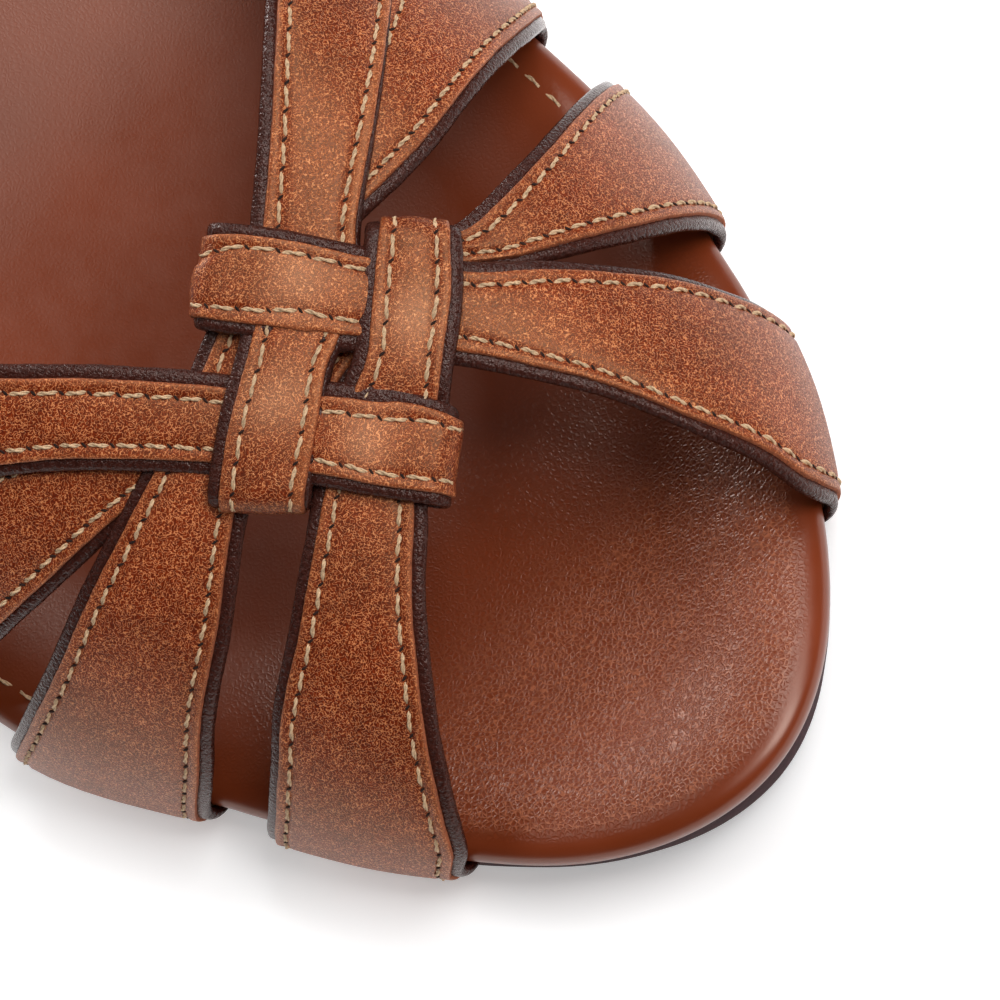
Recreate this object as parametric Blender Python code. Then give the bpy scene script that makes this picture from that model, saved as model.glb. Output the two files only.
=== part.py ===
"""Peep-toe slide heel, right shoe: leather straps woven into a knot, footbed, outsole and heel.

The toe points to -Y, +Z is up and +X is the inner (medial) side of the foot.
Sizes are in millimetres and turned into metres where a vertex is made.
A station is the distance from the back of the heel towards the toe.
A strap's place on the foot is a station and an angle: 0 degrees at the medial edge of the
footbed, 90 on the ridge of the foot and 180 at the lateral edge.
"""
import math
from collections import namedtuple

import bmesh
import bpy
from mathutils import Vector

MM = 0.001

# Driving sizes
LENGTH = 242.0            # back of the heel to the toe tip
CENTRE_X = 4.1            # moves the middle of the overall width to x = 0
TOE_ROUND_FROM = 205.0    # the outline turns in to the toe tip from here
HEEL_ROUND_TO = 28.0      # and to the back of the heel from here
RIDGE_X = 2.0             # the foot's ridge lies a little to the medial side
SIDE_POWER = 0.80         # fullness of the foot's section at its sides
CROWN_POWER = 0.95        # and over its top
CLEARANCE = 0.3           # between pieces that touch

OUTSOLE_THICK = 2.8
OUTSOLE_INSET = 2.4       # the footbed overhangs the outsole by this much
OUTSOLE_BEVEL = 0.5

TUCK_SLOT = 1.6           # height of the slot that takes the straps' skived ends
TUCK_DEPTH = 7.0          # and its depth, from the footbed's widest line
LIP_RADIUS = 2.6          # underside of the footbed's rolled edge
ROLL_WIDTH = 6.5          # upper side of the rolled edge
ROLL_HEIGHT = 2.8
DISH_INSET = 12.0         # the footbed is slightly hollow inside this line
DISH_DEPTH = 0.6
EDGE_Z = OUTSOLE_THICK + TUCK_SLOT + LIP_RADIUS   # widest line of the footbed over the ground

STRAP_THICK = 2.0
SKIVED_THICK = 1.0        # strap ends are thinned where they tuck in under the footbed
TUCK_REACH = 8.0          # length of strap below the footbed's widest line
EDGE_ROUND = 0.6          # rounding of the strap's painted edges

HEEL_BACK = (3.4, 9.0)    # station of the heel block's back, at the sole and at the ground
HEEL_FRONT = (55.0, 44.0)
HEEL_WIDTH = (1.0, 0.84)  # share of the sole's width

STATION_COUNT = 56        # pairs of points along a sole outline
HEEL_RINGS = 6
HEEL_TURNS = (3, 9, 15, 22, 30, 40, 52, 64, 77, 90)   # degrees that space its stations

LastRow = namedtuple("LastRow", "station lateral medial sole top")
# half widths of the footbed, height of the outsole's underside, height of the foot's ridge
LAST = (
    LastRow(0, 26.0, 26.0, 62.0, 74.0),
    LastRow(30, 29.5, 28.5, 59.5, 74.0),
    LastRow(60, 31.0, 28.5, 50.5, 74.0),
    LastRow(90, 34.5, 29.5, 34.5, 72.0),
    LastRow(115, 40.5, 32.5, 19.0, 68.0),
    LastRow(140, 46.8, 38.0, 6.6, 60.0),
    LastRow(160, 49.0, 40.8, 0.9, 51.5),
    LastRow(174, 47.4, 40.4, 0.0, 44.5),
    LastRow(198, 37.9, 35.6, 0.0, 34.0),
    LastRow(210, 32.8, 31.8, 0.3, 29.5),
    LastRow(224, 28.6, 27.6, 1.6, 25.0),
    LastRow(233, 27.2, 25.6, 3.2, 22.5),
    LastRow(242, 25.6, 24.0, 5.5, 20.5),
)

StrapRow = namedtuple("StrapRow", "front_angle front_station rear_angle rear_station lift")
# Each strap runs from the footbed's edge (first row) up to the knot (last row).
# lift is the height of its inner face over the foot, where it crosses another strap.
STRAPS = {
    "front_medial": (
        StrapRow(0, 224.6, 0, 205.0, 0.0),
        StrapRow(13, 225.0, 12, 205.0, 0.0),
        StrapRow(28, 223.6, 27, 203.7, 0.0),
        StrapRow(53, 217.0, 48, 199.3, 0.4),
        StrapRow(71, 206.8, 61.5, 195.0, 1.2),
        StrapRow(81, 199.0, 70, 191.7, 1.7),
        StrapRow(85.5, 194.4, 75.5, 187.6, 1.8),
        StrapRow(90, 189.2, 80.5, 183.8, 3.2),
        StrapRow(92.5, 184.0, 85.5, 178.6, 3.5),
        StrapRow(94.5, 180.2, 88.5, 174.8, 3.3),
        StrapRow(95.2, 178.9, 89.4, 173.5, 2.2),
        StrapRow(95.5, 178.4, 89.7, 173.0, 0.3),
    ),
    "front_lateral": (
        StrapRow(180, 221.5, 180, 201.4, 0.0),
        StrapRow(165, 223.0, 165, 203.5, 0.0),
        StrapRow(148, 221.9, 150, 203.9, 0.0),
        StrapRow(132, 219.2, 138, 203.0, 0.2),
        StrapRow(115, 214.4, 122, 201.3, 0.8),
        StrapRow(99, 207.3, 109, 198.3, 1.5),
        StrapRow(93.6, 204.0, 101.6, 195.7, 1.7),
        StrapRow(89, 201.4, 96, 193.8, 1.8),
        StrapRow(84.5, 199.2, 90.5, 191.6, 3.2),
        StrapRow(76, 194.8, 84.5, 187.8, 3.5),
        StrapRow(70.6, 190.8, 79.6, 184.7, 3.3),
        StrapRow(69.6, 189.9, 78.6, 184.0, 2.2),
        StrapRow(69.2, 189.6, 78.2, 183.7, 0.3),
    ),
    "rear_lateral": (
        StrapRow(180, 141.0, 180, 122.0, 0.0),
        StrapRow(165, 147.0, 165, 127.0, 0.0),
        StrapRow(148, 155.0, 145, 137.0, 0.2),
        StrapRow(130, 165.5, 124, 153.5, 0.8),
        StrapRow(118, 174.6, 108, 169.0, 1.7),
        StrapRow(111, 182.0, 101.5, 176.4, 1.9),
        StrapRow(106, 188.3, 97.2, 182.2, 1.8),
        StrapRow(103, 192.2, 94.8, 186.4, 1.9),
        StrapRow(99.6, 195.9, 91.8, 191.2, 3.2),
        StrapRow(96, 201.2, 89, 196.4, 3.5),
        StrapRow(93.3, 205.4, 86.3, 200.2, 3.3),
        StrapRow(92.8, 206.3, 85.8, 201.0, 2.2),
        StrapRow(92.6, 206.6, 85.6, 201.3, 0.3),
    ),
    "rear_medial": (
        StrapRow(0, 140.5, 0, 122.0, 0.0),
        StrapRow(15, 148.0, 15, 129.0, 0.0),
        StrapRow(35, 159.5, 34, 142.0, 0.3),
        StrapRow(54, 169.8, 57, 156.5, 1.0),
        StrapRow(67, 176.6, 72, 165.6, 1.7),
        StrapRow(77.5, 182.0, 86.5, 174.8, 1.7),
        StrapRow(82.5, 185.4, 89.5, 177.8, 1.8),
        StrapRow(89.6, 189.0, 93.6, 181.6, 3.2),
        StrapRow(93.8, 192.6, 98.4, 184.4, 3.5),
        StrapRow(101.8, 196.2, 106.8, 188.2, 3.3),
        StrapRow(103.0, 196.7, 108.2, 188.8, 2.2),
        StrapRow(103.4, 196.9, 108.6, 189.0, 0.3),
    ),
    "second_medial": (
        StrapRow(0, 193.8, 0, 171.8, 0.0),
        StrapRow(17, 196.2, 12, 176.2, 0.0),
        StrapRow(34, 197.3, 30, 181.4, 0.0),
        StrapRow(48, 196.8, 48, 185.5, 0.0),
        StrapRow(61, 195.0, 66, 187.7, 0.0),
        StrapRow(70, 192.4, 73, 185.8, 0.0),
        StrapRow(79, 189.6, 79, 183.6, 0.0),
    ),
    "second_lateral": (
        StrapRow(180, 195.2, 180, 172.6, 0.0),
        StrapRow(165, 197.6, 165, 177.5, 0.0),
        StrapRow(151, 198.1, 146, 181.2, 0.0),
        StrapRow(127, 196.6, 127, 182.3, 0.5),
        StrapRow(108, 191.9, 112.5, 182.0, 0.8),
        StrapRow(99, 188.6, 102, 180.6, 0.8),
        StrapRow(91, 184.8, 94, 178.4, 0.8),
    ),
    "third_medial": (
        StrapRow(0, 162.5, 0, 144.5, 0.0),
        StrapRow(14, 168.4, 14, 150.2, 0.1),
        StrapRow(30, 173.6, 33, 158.6, 0.2),
        StrapRow(56, 179.8, 57, 168.4, 0.3),
        StrapRow(68, 181.6, 71, 174.0, 0.3),
        StrapRow(79, 182.0, 83, 176.6, 0.3),
    ),
    "third_lateral": (
        StrapRow(180, 167.0, 180, 146.0, 0.0),
        StrapRow(165, 170.4, 165, 150.0, 0.0),
        StrapRow(149, 175.4, 147, 157.0, 0.0),
        StrapRow(133, 180.0, 128, 166.0, 0.0),
        StrapRow(120, 183.0, 112, 173.6, 0.0),
        StrapRow(108, 186.0, 103, 178.6, 0.0),
    ),
}
STRAP_STEPS = 3           # sections between two rows of a strap
# angle below the footbed's edge, here in millimetres of strap, of each tucked section
TUCK_SECTIONS = (-TUCK_REACH, -6.2, -4.7, -3.9, -3.1, -2.3, -1.5, -0.7)


def smooth_table(stations, values):
    """Return a smooth function through the values that never overshoots them."""
    steps = [b - a for a, b in zip(stations, stations[1:])]
    slopes = [(b - a) / h for a, b, h in zip(values, values[1:], steps)]
    tangents = [slopes[0]]
    for i in range(1, len(slopes)):
        before, after = slopes[i - 1], slopes[i]
        if before * after <= 0.0:
            tangents.append(0.0)
            continue
        near = 2.0 * steps[i] + steps[i - 1]
        far = steps[i] + 2.0 * steps[i - 1]
        tangents.append((near + far) / (near / before + far / after))
    tangents.append(slopes[-1])

    def value_at(station):
        station = min(max(station, stations[0]), stations[-1])
        i = 0
        while i < len(steps) - 1 and station > stations[i + 1]:
            i += 1
        t = (station - stations[i]) / steps[i]
        return ((2 * t ** 3 - 3 * t ** 2 + 1) * values[i]
                + (t ** 3 - 2 * t ** 2 + t) * steps[i] * tangents[i]
                + (3 * t ** 2 - 2 * t ** 3) * values[i + 1]
                + (t ** 3 - t ** 2) * steps[i] * tangents[i + 1])

    return value_at


LAST_STATIONS = [row.station for row in LAST]
lateral_width = smooth_table(LAST_STATIONS, [row.lateral for row in LAST])
medial_width = smooth_table(LAST_STATIONS, [row.medial for row in LAST])
sole_height = smooth_table(LAST_STATIONS, [row.sole for row in LAST])
ridge_height = smooth_table(LAST_STATIONS, [row.top for row in LAST])


def end_rounding(station):
    """Elliptic factor that closes the outline at the toe and at the heel."""
    toe = max(0.0, (station - TOE_ROUND_FROM) / (LENGTH - TOE_ROUND_FROM))
    heel = max(0.0, (HEEL_ROUND_TO - station) / HEEL_ROUND_TO)
    return math.sqrt(max(0.0, 1.0 - toe * toe)) * math.sqrt(max(0.0, 1.0 - heel * heel))


def half_width(station, side):
    """Distance from the long axis to the footbed's edge; side is +1 medial, -1 lateral."""
    width = medial_width(station) if side > 0 else lateral_width(station)
    return width * end_rounding(station)


def place(x, station, z):
    """Turn a place on the last, in millimetres, into a point in metres."""
    return Vector(((x + CENTRE_X) * MM, (LENGTH / 2.0 - station) * MM, z * MM))


def edge_normal(station, side):
    """Outward direction of the footbed's edge in plan, as (x, station)."""
    step = 0.25
    slope = (half_width(station + step, side) - half_width(station - step, side)) / (2 * step)
    length = math.hypot(1.0, slope)
    return side / length, -slope / length


# ---------------------------------------------------------------- sole-shaped pieces
def paired_stations(count):
    """Stations from heel to toe, close together where the outline turns."""
    return [LENGTH / 2.0 * (1.0 - math.cos(math.pi * (i + 0.5) / count)) for i in range(count)]


def outline_ring(inset, height):
    """A closed ring inside the footbed's edge; height is over the outsole's underside."""
    stations = paired_stations(STATION_COUNT)
    edge = [(half_width(s, 1), s) for s in stations]
    edge += [(-half_width(s, -1), s) for s in reversed(stations)]
    ring = []
    for i, (x, s) in enumerate(edge):
        x0, s0 = edge[i - 1]
        x1, s1 = edge[(i + 1) % len(edge)]
        run = math.hypot(x1 - x0, s1 - s0)
        x_in = x - inset * (s1 - s0) / run
        s_in = s + inset * (x1 - x0) / run
        ring.append(place(x_in, s_in, sole_height(s_in) + height))
    return ring


def add_cap(bm, ring):
    """Close a ring with strips that run across the shoe, one for each pair of points."""
    last = len(ring) - 1
    for i in range(len(ring) // 2 - 1):
        bm.faces.new((ring[i], ring[i + 1], ring[last - i - 1], ring[last - i]))


def make_skin(name, rings):
    """Build a closed body from a stack of rings, capped at both ends."""
    bm = bmesh.new()
    loops = [[bm.verts.new(point) for point in ring] for ring in rings]
    for lower, upper in zip(loops, loops[1:]):
        for i in range(len(lower)):
            j = (i + 1) % len(lower)
            bm.faces.new((lower[i], lower[j], upper[j], upper[i]))
    add_cap(bm, loops[0])
    add_cap(bm, loops[-1])
    return finish_mesh(name, bm)


def finish_mesh(name, bm):
    """Turn the faces outward and store them as an object's mesh."""
    bmesh.ops.recalc_face_normals(bm, faces=bm.faces)
    mesh = bpy.data.meshes.new(name)
    bm.to_mesh(mesh)
    bm.free()
    mesh.shade_smooth()
    mesh.set_sharp_from_angle(angle=math.radians(40.0))
    return bpy.data.objects.new(name, mesh)


def make_outsole():
    """A thin sole that follows the arch, set in under the footbed's edge."""
    inner = OUTSOLE_INSET + OUTSOLE_BEVEL
    return make_skin("outsole", (
        outline_ring(inner + TUCK_DEPTH, 0.0),
        outline_ring(inner, 0.0),
        outline_ring(OUTSOLE_INSET, OUTSOLE_BEVEL),
        outline_ring(OUTSOLE_INSET, OUTSOLE_THICK - OUTSOLE_BEVEL),
        outline_ring(inner, OUTSOLE_THICK),
        outline_ring(inner + TUCK_DEPTH, OUTSOLE_THICK),
    ))


def make_footbed():
    """The padded footbed: a core on the outsole, a slot for the straps and a rolled edge."""
    rings = [
        outline_ring(TUCK_DEPTH + 4.0, OUTSOLE_THICK + CLEARANCE),
        outline_ring(TUCK_DEPTH, OUTSOLE_THICK + CLEARANCE),
        outline_ring(TUCK_DEPTH, OUTSOLE_THICK + TUCK_SLOT),
    ]
    for degrees in (-90, -68, -45, -22, 0):
        turn = math.radians(degrees)
        rings.append(outline_ring(LIP_RADIUS * (1.0 - math.cos(turn)),
                                  EDGE_Z + LIP_RADIUS * math.sin(turn)))
    for degrees in (25, 50, 72, 90):
        turn = math.radians(degrees)
        rings.append(outline_ring(ROLL_WIDTH * (1.0 - math.cos(turn)),
                                  EDGE_Z + ROLL_HEIGHT * math.sin(turn)))
    top = EDGE_Z + ROLL_HEIGHT
    rings.append(outline_ring(DISH_INSET * 0.8, top - DISH_DEPTH * 0.55))
    rings.append(outline_ring(DISH_INSET, top - DISH_DEPTH))
    return make_skin("footbed", rings)


# ---------------------------------------------------------------- heel
def heel_ring(share):
    """Outline of the heel block at a share of the way from the sole to the ground."""
    inset = OUTSOLE_INSET + 0.4
    drop = share ** 0.85
    stations = [HEEL_BACK[0] + (HEEL_FRONT[0] - HEEL_BACK[0]) * (1.0 - math.cos(math.radians(a)))
                for a in HEEL_TURNS]
    sides = []
    for side in (1, -1):
        points = []
        for s in stations:
            x_top = side * (half_width(s - inset * 0.4, side) - inset)
            back = HEEL_BACK[0] + (HEEL_BACK[1] - HEEL_BACK[0]) * drop
            front = HEEL_FRONT[0] + (HEEL_FRONT[1] - HEEL_FRONT[0]) * drop
            along = (s - HEEL_BACK[0]) / (HEEL_FRONT[0] - HEEL_BACK[0])
            width = HEEL_WIDTH[0] + (HEEL_WIDTH[1] - HEEL_WIDTH[0]) * drop
            z = (sole_height(s) - CLEARANCE) * (1.0 - share)
            points.append(place(x_top * width, back + (front - back) * along, z))
        sides.append(points)
    return sides[0] + sides[1][::-1]


def make_heel():
    """A block heel whose top follows the sole and whose foot stands flat on the ground."""
    return make_skin("heel", [heel_ring(i / (HEEL_RINGS - 1.0)) for i in range(HEEL_RINGS)])


# ---------------------------------------------------------------- upper
def foot_point(station, angle):
    """A point on the foot's surface, as (x, station, z) in millimetres.

    Below the footbed's widest line, at angles under 0 or over 180, the surface turns in
    round the footbed's lip, and the angle counts millimetres of that path.
    """
    side = 1 if angle <= 90.0 else -1
    rise = angle if side > 0 else 180.0 - angle
    normal_x, normal_s = edge_normal(station, side)
    wall = half_width(station, side)
    if rise < 0.0:
        radius = LIP_RADIUS + CLEARANCE
        turn = min(-rise / radius, math.pi / 2.0)
        inward = LIP_RADIUS - radius * math.cos(turn)
        inward += max(0.0, -rise - radius * math.pi / 2.0)
        s = station - normal_s * inward
        return (side * wall - normal_x * inward, s,
                sole_height(s) + EDGE_Z - radius * math.sin(turn))
    turn = math.radians(rise)
    spread = math.cos(turn) ** SIDE_POWER if rise < 90.0 else 0.0
    s = station + normal_s * CLEARANCE * spread
    edge_x = side * wall + normal_x * CLEARANCE
    foot_z = sole_height(s) + EDGE_Z
    x = RIDGE_X + (edge_x - RIDGE_X) * spread
    z = foot_z + (ridge_height(station) - foot_z) * math.sin(turn) ** CROWN_POWER
    return x, s, z


def foot_normal(station, angle):
    """Outward direction of the foot's surface."""
    step = 0.2
    along = Vector(foot_point(station + step, angle)) - Vector(foot_point(station - step, angle))
    around = Vector(foot_point(station, angle + step)) - Vector(foot_point(station, angle - step))
    return along.cross(around).normalized()


def strap_point(station, angle, height):
    """A point at a height over the foot, in metres."""
    x, s, z = Vector(foot_point(station, angle)) + foot_normal(station, angle) * height
    return place(x, s, z)


def blend_rows(rows, steps):
    """Smooth a strap's rows with a Catmull-Rom curve through all of their columns."""
    padded = [rows[0]] + list(rows) + [rows[-1]]
    blended = []
    for i in range(len(rows) - 1):
        p0, p1, p2, p3 = padded[i:i + 4]
        for k in range(steps):
            t = k / steps
            weights = (-t + 2 * t ** 2 - t ** 3, 2 - 5 * t ** 2 + 3 * t ** 3,
                       t + 4 * t ** 2 - 3 * t ** 3, t ** 3 - t ** 2)
            blended.append(StrapRow(*(
                0.5 * sum(w * v for w, v in zip(weights, column))
                for column in zip(p0, p1, p2, p3))))
    blended.append(rows[-1])
    return blended


def strap_section(row, thick):
    """The closed outline of a strap across its width, with rounded edges."""
    width = math.dist(foot_point(row.front_station, row.front_angle),
                      foot_point(row.rear_station, row.rear_angle))
    edge = EDGE_ROUND / width
    profile = ((0.0, 0.28), (edge, 0.0), (0.33, 0.0), (0.67, 0.0), (1.0 - edge, 0.0), (1.0, 0.28),
               (1.0, 0.66), (1.0 - edge, 1.0), (0.67, 1.0), (0.33, 1.0), (edge, 1.0), (0.0, 0.66))
    points = []
    for across, share in profile:
        angle = row.front_angle + (row.rear_angle - row.front_angle) * across
        station = row.front_station + (row.rear_station - row.front_station) * across
        points.append(strap_point(station, angle, row.lift + share * thick))
    return points


def make_strap(name, rows):
    """A ribbon of leather from its tucked end under the footbed up to the knot."""
    foot = rows[0]
    lateral = foot.front_angle > 90
    sections = []
    for below in TUCK_SECTIONS:
        angle = 180.0 - below if lateral else below
        share = min(1.0, -below / (LIP_RADIUS * math.pi / 2.0))
        thick = STRAP_THICK + (SKIVED_THICK - STRAP_THICK) * share
        row = StrapRow(angle, foot.front_station, angle, foot.rear_station, foot.lift)
        sections.append(strap_section(row, thick))
    for row in blend_rows(rows, STRAP_STEPS):
        sections.append(strap_section(row, STRAP_THICK))
    bm = bmesh.new()
    loops = [[bm.verts.new(point) for point in section] for section in sections]
    for near, far in zip(loops, loops[1:]):
        for i in range(len(near)):
            j = (i + 1) % len(near)
            bm.faces.new((near[i], near[j], far[j], far[i]))
    bm.faces.new(loops[0])
    bm.faces.new(loops[-1])
    bmesh.ops.triangulate(bm, faces=[f for f in bm.faces if len(f.verts) > 4])
    return finish_mesh(name, bm)


def make_upper(guides):
    """All straps joined where they cross: one open leather wall."""
    upper = None
    for name, rows in STRAPS.items():
        strap = make_strap("strap_" + name, rows)
        if upper is None:
            upper = strap
            upper.name = "upper"
            continue
        strap.hide_render = True
        strap.display_type = "WIRE"
        guides.objects.link(strap)
        union = upper.modifiers.new("join_" + name, "BOOLEAN")
        union.operation = "UNION"
        union.solver = "EXACT"
        union.object = strap
    return upper


# ---------------------------------------------------------------- assembly
def make_material(name, colour, roughness):
    """A plain finish: linear base colour and roughness."""
    material = bpy.data.materials.new(name)
    material.use_nodes = True
    shader = material.node_tree.nodes["Principled BSDF"]
    shader.inputs["Base Color"].default_value = (*colour, 1.0)
    shader.inputs["Roughness"].default_value = roughness
    shader.inputs["Metallic"].default_value = 0.0
    return material


def clear_scene():
    """Remove every object that the file opened with."""
    for item in list(bpy.data.objects):
        bpy.data.objects.remove(item, do_unlink=True)


def main():
    """Build the shoe in a collection of its own, under one empty."""
    clear_scene()
    shoe = bpy.data.collections.new("peep_toe_slide_heel")
    guides = bpy.data.collections.new("strap_guides")
    bpy.context.scene.collection.children.link(shoe)
    bpy.context.scene.collection.children.link(guides)
    root = bpy.data.objects.new("shoe_origin", None)
    shoe.objects.link(root)
    tan = make_material("tan_strap_leather", (0.36, 0.12, 0.045), 0.45)
    brown = make_material("red_brown_footbed_leather", (0.18, 0.045, 0.018), 0.4)
    dark = make_material("dark_brown_sole", (0.045, 0.02, 0.016), 0.55)
    pieces = ((make_upper(guides), tan), (make_footbed(), brown),
              (make_outsole(), dark), (make_heel(), brown))
    for piece, material in pieces:
        piece.data.materials.append(material)
        piece.parent = root
        shoe.objects.link(piece)


main()
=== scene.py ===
"""Peep-toe slide heel, right shoe: leather straps woven into a knot, footbed, outsole and heel.

Run as a script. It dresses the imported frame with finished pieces: lined straps with painted
edges and stitching, a padded footbed, an outsole and a covered heel.
The toe points to -Y, +Z is up and +X is the inner (medial) side of the foot.
Sizes are in millimetres until a mesh is made, apart from the settings, which are in metres.
"""
import math
from collections import namedtuple

import bmesh
import bpy
import numpy as np
from bpy.props import FloatProperty, FloatVectorProperty, PointerProperty
from mathutils import Matrix, Vector


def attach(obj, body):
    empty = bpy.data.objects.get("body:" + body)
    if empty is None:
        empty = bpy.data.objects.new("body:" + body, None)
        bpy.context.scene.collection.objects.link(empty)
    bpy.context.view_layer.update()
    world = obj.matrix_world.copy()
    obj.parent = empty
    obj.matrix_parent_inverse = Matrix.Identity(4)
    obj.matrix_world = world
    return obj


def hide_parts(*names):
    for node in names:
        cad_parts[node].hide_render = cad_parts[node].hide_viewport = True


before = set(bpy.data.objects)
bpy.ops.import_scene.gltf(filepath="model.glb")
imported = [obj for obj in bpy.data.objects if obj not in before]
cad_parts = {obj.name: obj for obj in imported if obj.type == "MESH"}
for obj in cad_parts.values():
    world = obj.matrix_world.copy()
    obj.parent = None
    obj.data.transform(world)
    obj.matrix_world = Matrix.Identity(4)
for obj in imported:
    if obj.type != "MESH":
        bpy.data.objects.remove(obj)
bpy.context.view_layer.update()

bl_info = {
    "name": "Peep-toe slide",
    "version": (1, 0, 0),
    "blender": (4, 5, 0),
    "location": "View3D > Sidebar > Slide",
    "description": "Builds a knotted leather slide on a block heel",
    "category": "Object",
}

MM = 0.001

# The last, as the frame has it
LENGTH = 242.0
CENTRE_X = 4.1
TOE_ROUND_FROM = 205.0
HEEL_ROUND_TO = 28.0
RIDGE_X = 2.0
SIDE_POWER = 0.80
CROWN_POWER = 0.95
CLEARANCE = 0.3
OUTSOLE_THICK = 2.8
OUTSOLE_INSET = 1.5
OUTSOLE_TOE_INSET = 1.0   # how much further in the sole lies under the toe's tip
OUTSOLE_TIP = (220.0, 16.0)    # station where it starts to draw in, and over what length
OUTSOLE_BEVEL = 0.5
TUCK_SLOT = 1.6
TUCK_DEPTH = 7.0
COVER_TURN_IN = 4.0       # how far the footbed's cover reaches in beyond the slot
LIP_RADIUS = 2.6
EDGE_Z = OUTSOLE_THICK + TUCK_SLOT + LIP_RADIUS
TUCK_REACH = 8.0
HEEL_BACK = (3.4, 9.0)
HEEL_FRONT = (55.0, 44.0)
HEEL_WIDTH = (1.0, 0.84)
HEEL_TAPER = 0.85
HEEL_INSET = 2.8
HEEL_BACK_BULGE = 1.3
HEEL_MIDDLE = 30.0        # station where the heel's height is measured
TOP_PIECE_SHRINK = 0.35

# The footbed's dish and its grain, as stations and lengths
DISH_FLANK = 12.0         # width of the slope from the rolled edge down into the dish
TOE_DISH = (196.0, 26.0)  # where the toes' hollow starts, and the length over which it deepens
GRAIN_RETURNS = (186.0, 26.0)
GRAIN_IN_SHADOW = 0.12         # share of the grain, with its painted light and shade, that is left behind the ball of the foot, in the straps' shadow
ROLL_STEEPNESS = 1.6      # how much more the rolled edge faces up than out where it is sewn

# Stitching
HOLE_GAP = 0.72           # what a needle hole takes from the pitch
HOLE_SIZE = (0.40, 0.15, 0.12)    # half length, half width and half depth
HOLE_TURN = 0.75          # angle between a hole and its row, in radians
LAST_HOLE_BEND = 1.4      # how far round the fold a row ends, in radians
ROW_RUNS_ON = 2.6         # how far a row runs on below the footbed's edge
THREAD_LEVEL = 0.90       # share of a strap's thickness
STITCH_SLANT = 0.1
STITCH_DIP = 0.24
TUFT_SLANTS = (-0.34, -0.15, 0.05, 0.2, 0.38)
FOOTBED_ROW_INSET = 3.6
FOOTBED_ROW_SINK = 0.05   # how deep the row is pressed into the roll
FOOTBED_ROW_TO = 176.0    # station where the front straps' stretch starts, which isn't sewn
FOOTBED_PITCH = 3.3
FOOTBED_GAP = 0.55
FOOTBED_THREAD = 0.4

# A loop's folded end
FOLD_THINNED = 0.75       # what is pared off the end inside the fold
FOLD_BACK = (0.7, 1.4, 2.1)    # sections of the end that lies back under the loop

# How finely the pieces are drawn
OUTLINE_PAIRS = 150       # pairs of points along a sole outline
SECTION_STEP = 0.6        # between two sections of a strap
TUCK_SECTIONS = int(TUCK_REACH / SECTION_STEP) + 1    # of a strap, below the footbed's edge
ROW_STEPS = 14            # sections between two rows before they are spaced out
FOLD_STEPS = 14
FACE_COLUMNS = 7
LOOP_ROWS = 3             # last rows of a strap that make its loop
OFF_LOOP = -9.0           # place along a loop of a section that lies far from any
LINING_COLUMNS = 4

LastRow = namedtuple("LastRow", "station lateral medial sole top")
LAST = (
    LastRow(0, 26.0, 26.0, 62.0, 74.0),
    LastRow(30, 29.5, 28.5, 59.5, 74.0),
    LastRow(60, 31.0, 28.5, 50.5, 74.0),
    LastRow(90, 34.5, 29.5, 34.5, 72.0),
    LastRow(115, 40.5, 32.5, 19.0, 68.0),
    LastRow(140, 46.8, 38.0, 6.6, 60.0),
    LastRow(160, 49.0, 40.8, 0.9, 51.5),
    LastRow(174, 47.4, 40.4, 0.0, 44.5),
    LastRow(198, 37.9, 35.6, 0.0, 34.0),
    LastRow(210, 32.8, 31.8, 0.3, 29.5),
    LastRow(224, 28.6, 27.6, 1.6, 25.0),
    LastRow(233, 27.2, 25.6, 3.2, 22.5),
    LastRow(242, 25.6, 24.0, 5.5, 20.5),
)

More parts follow.
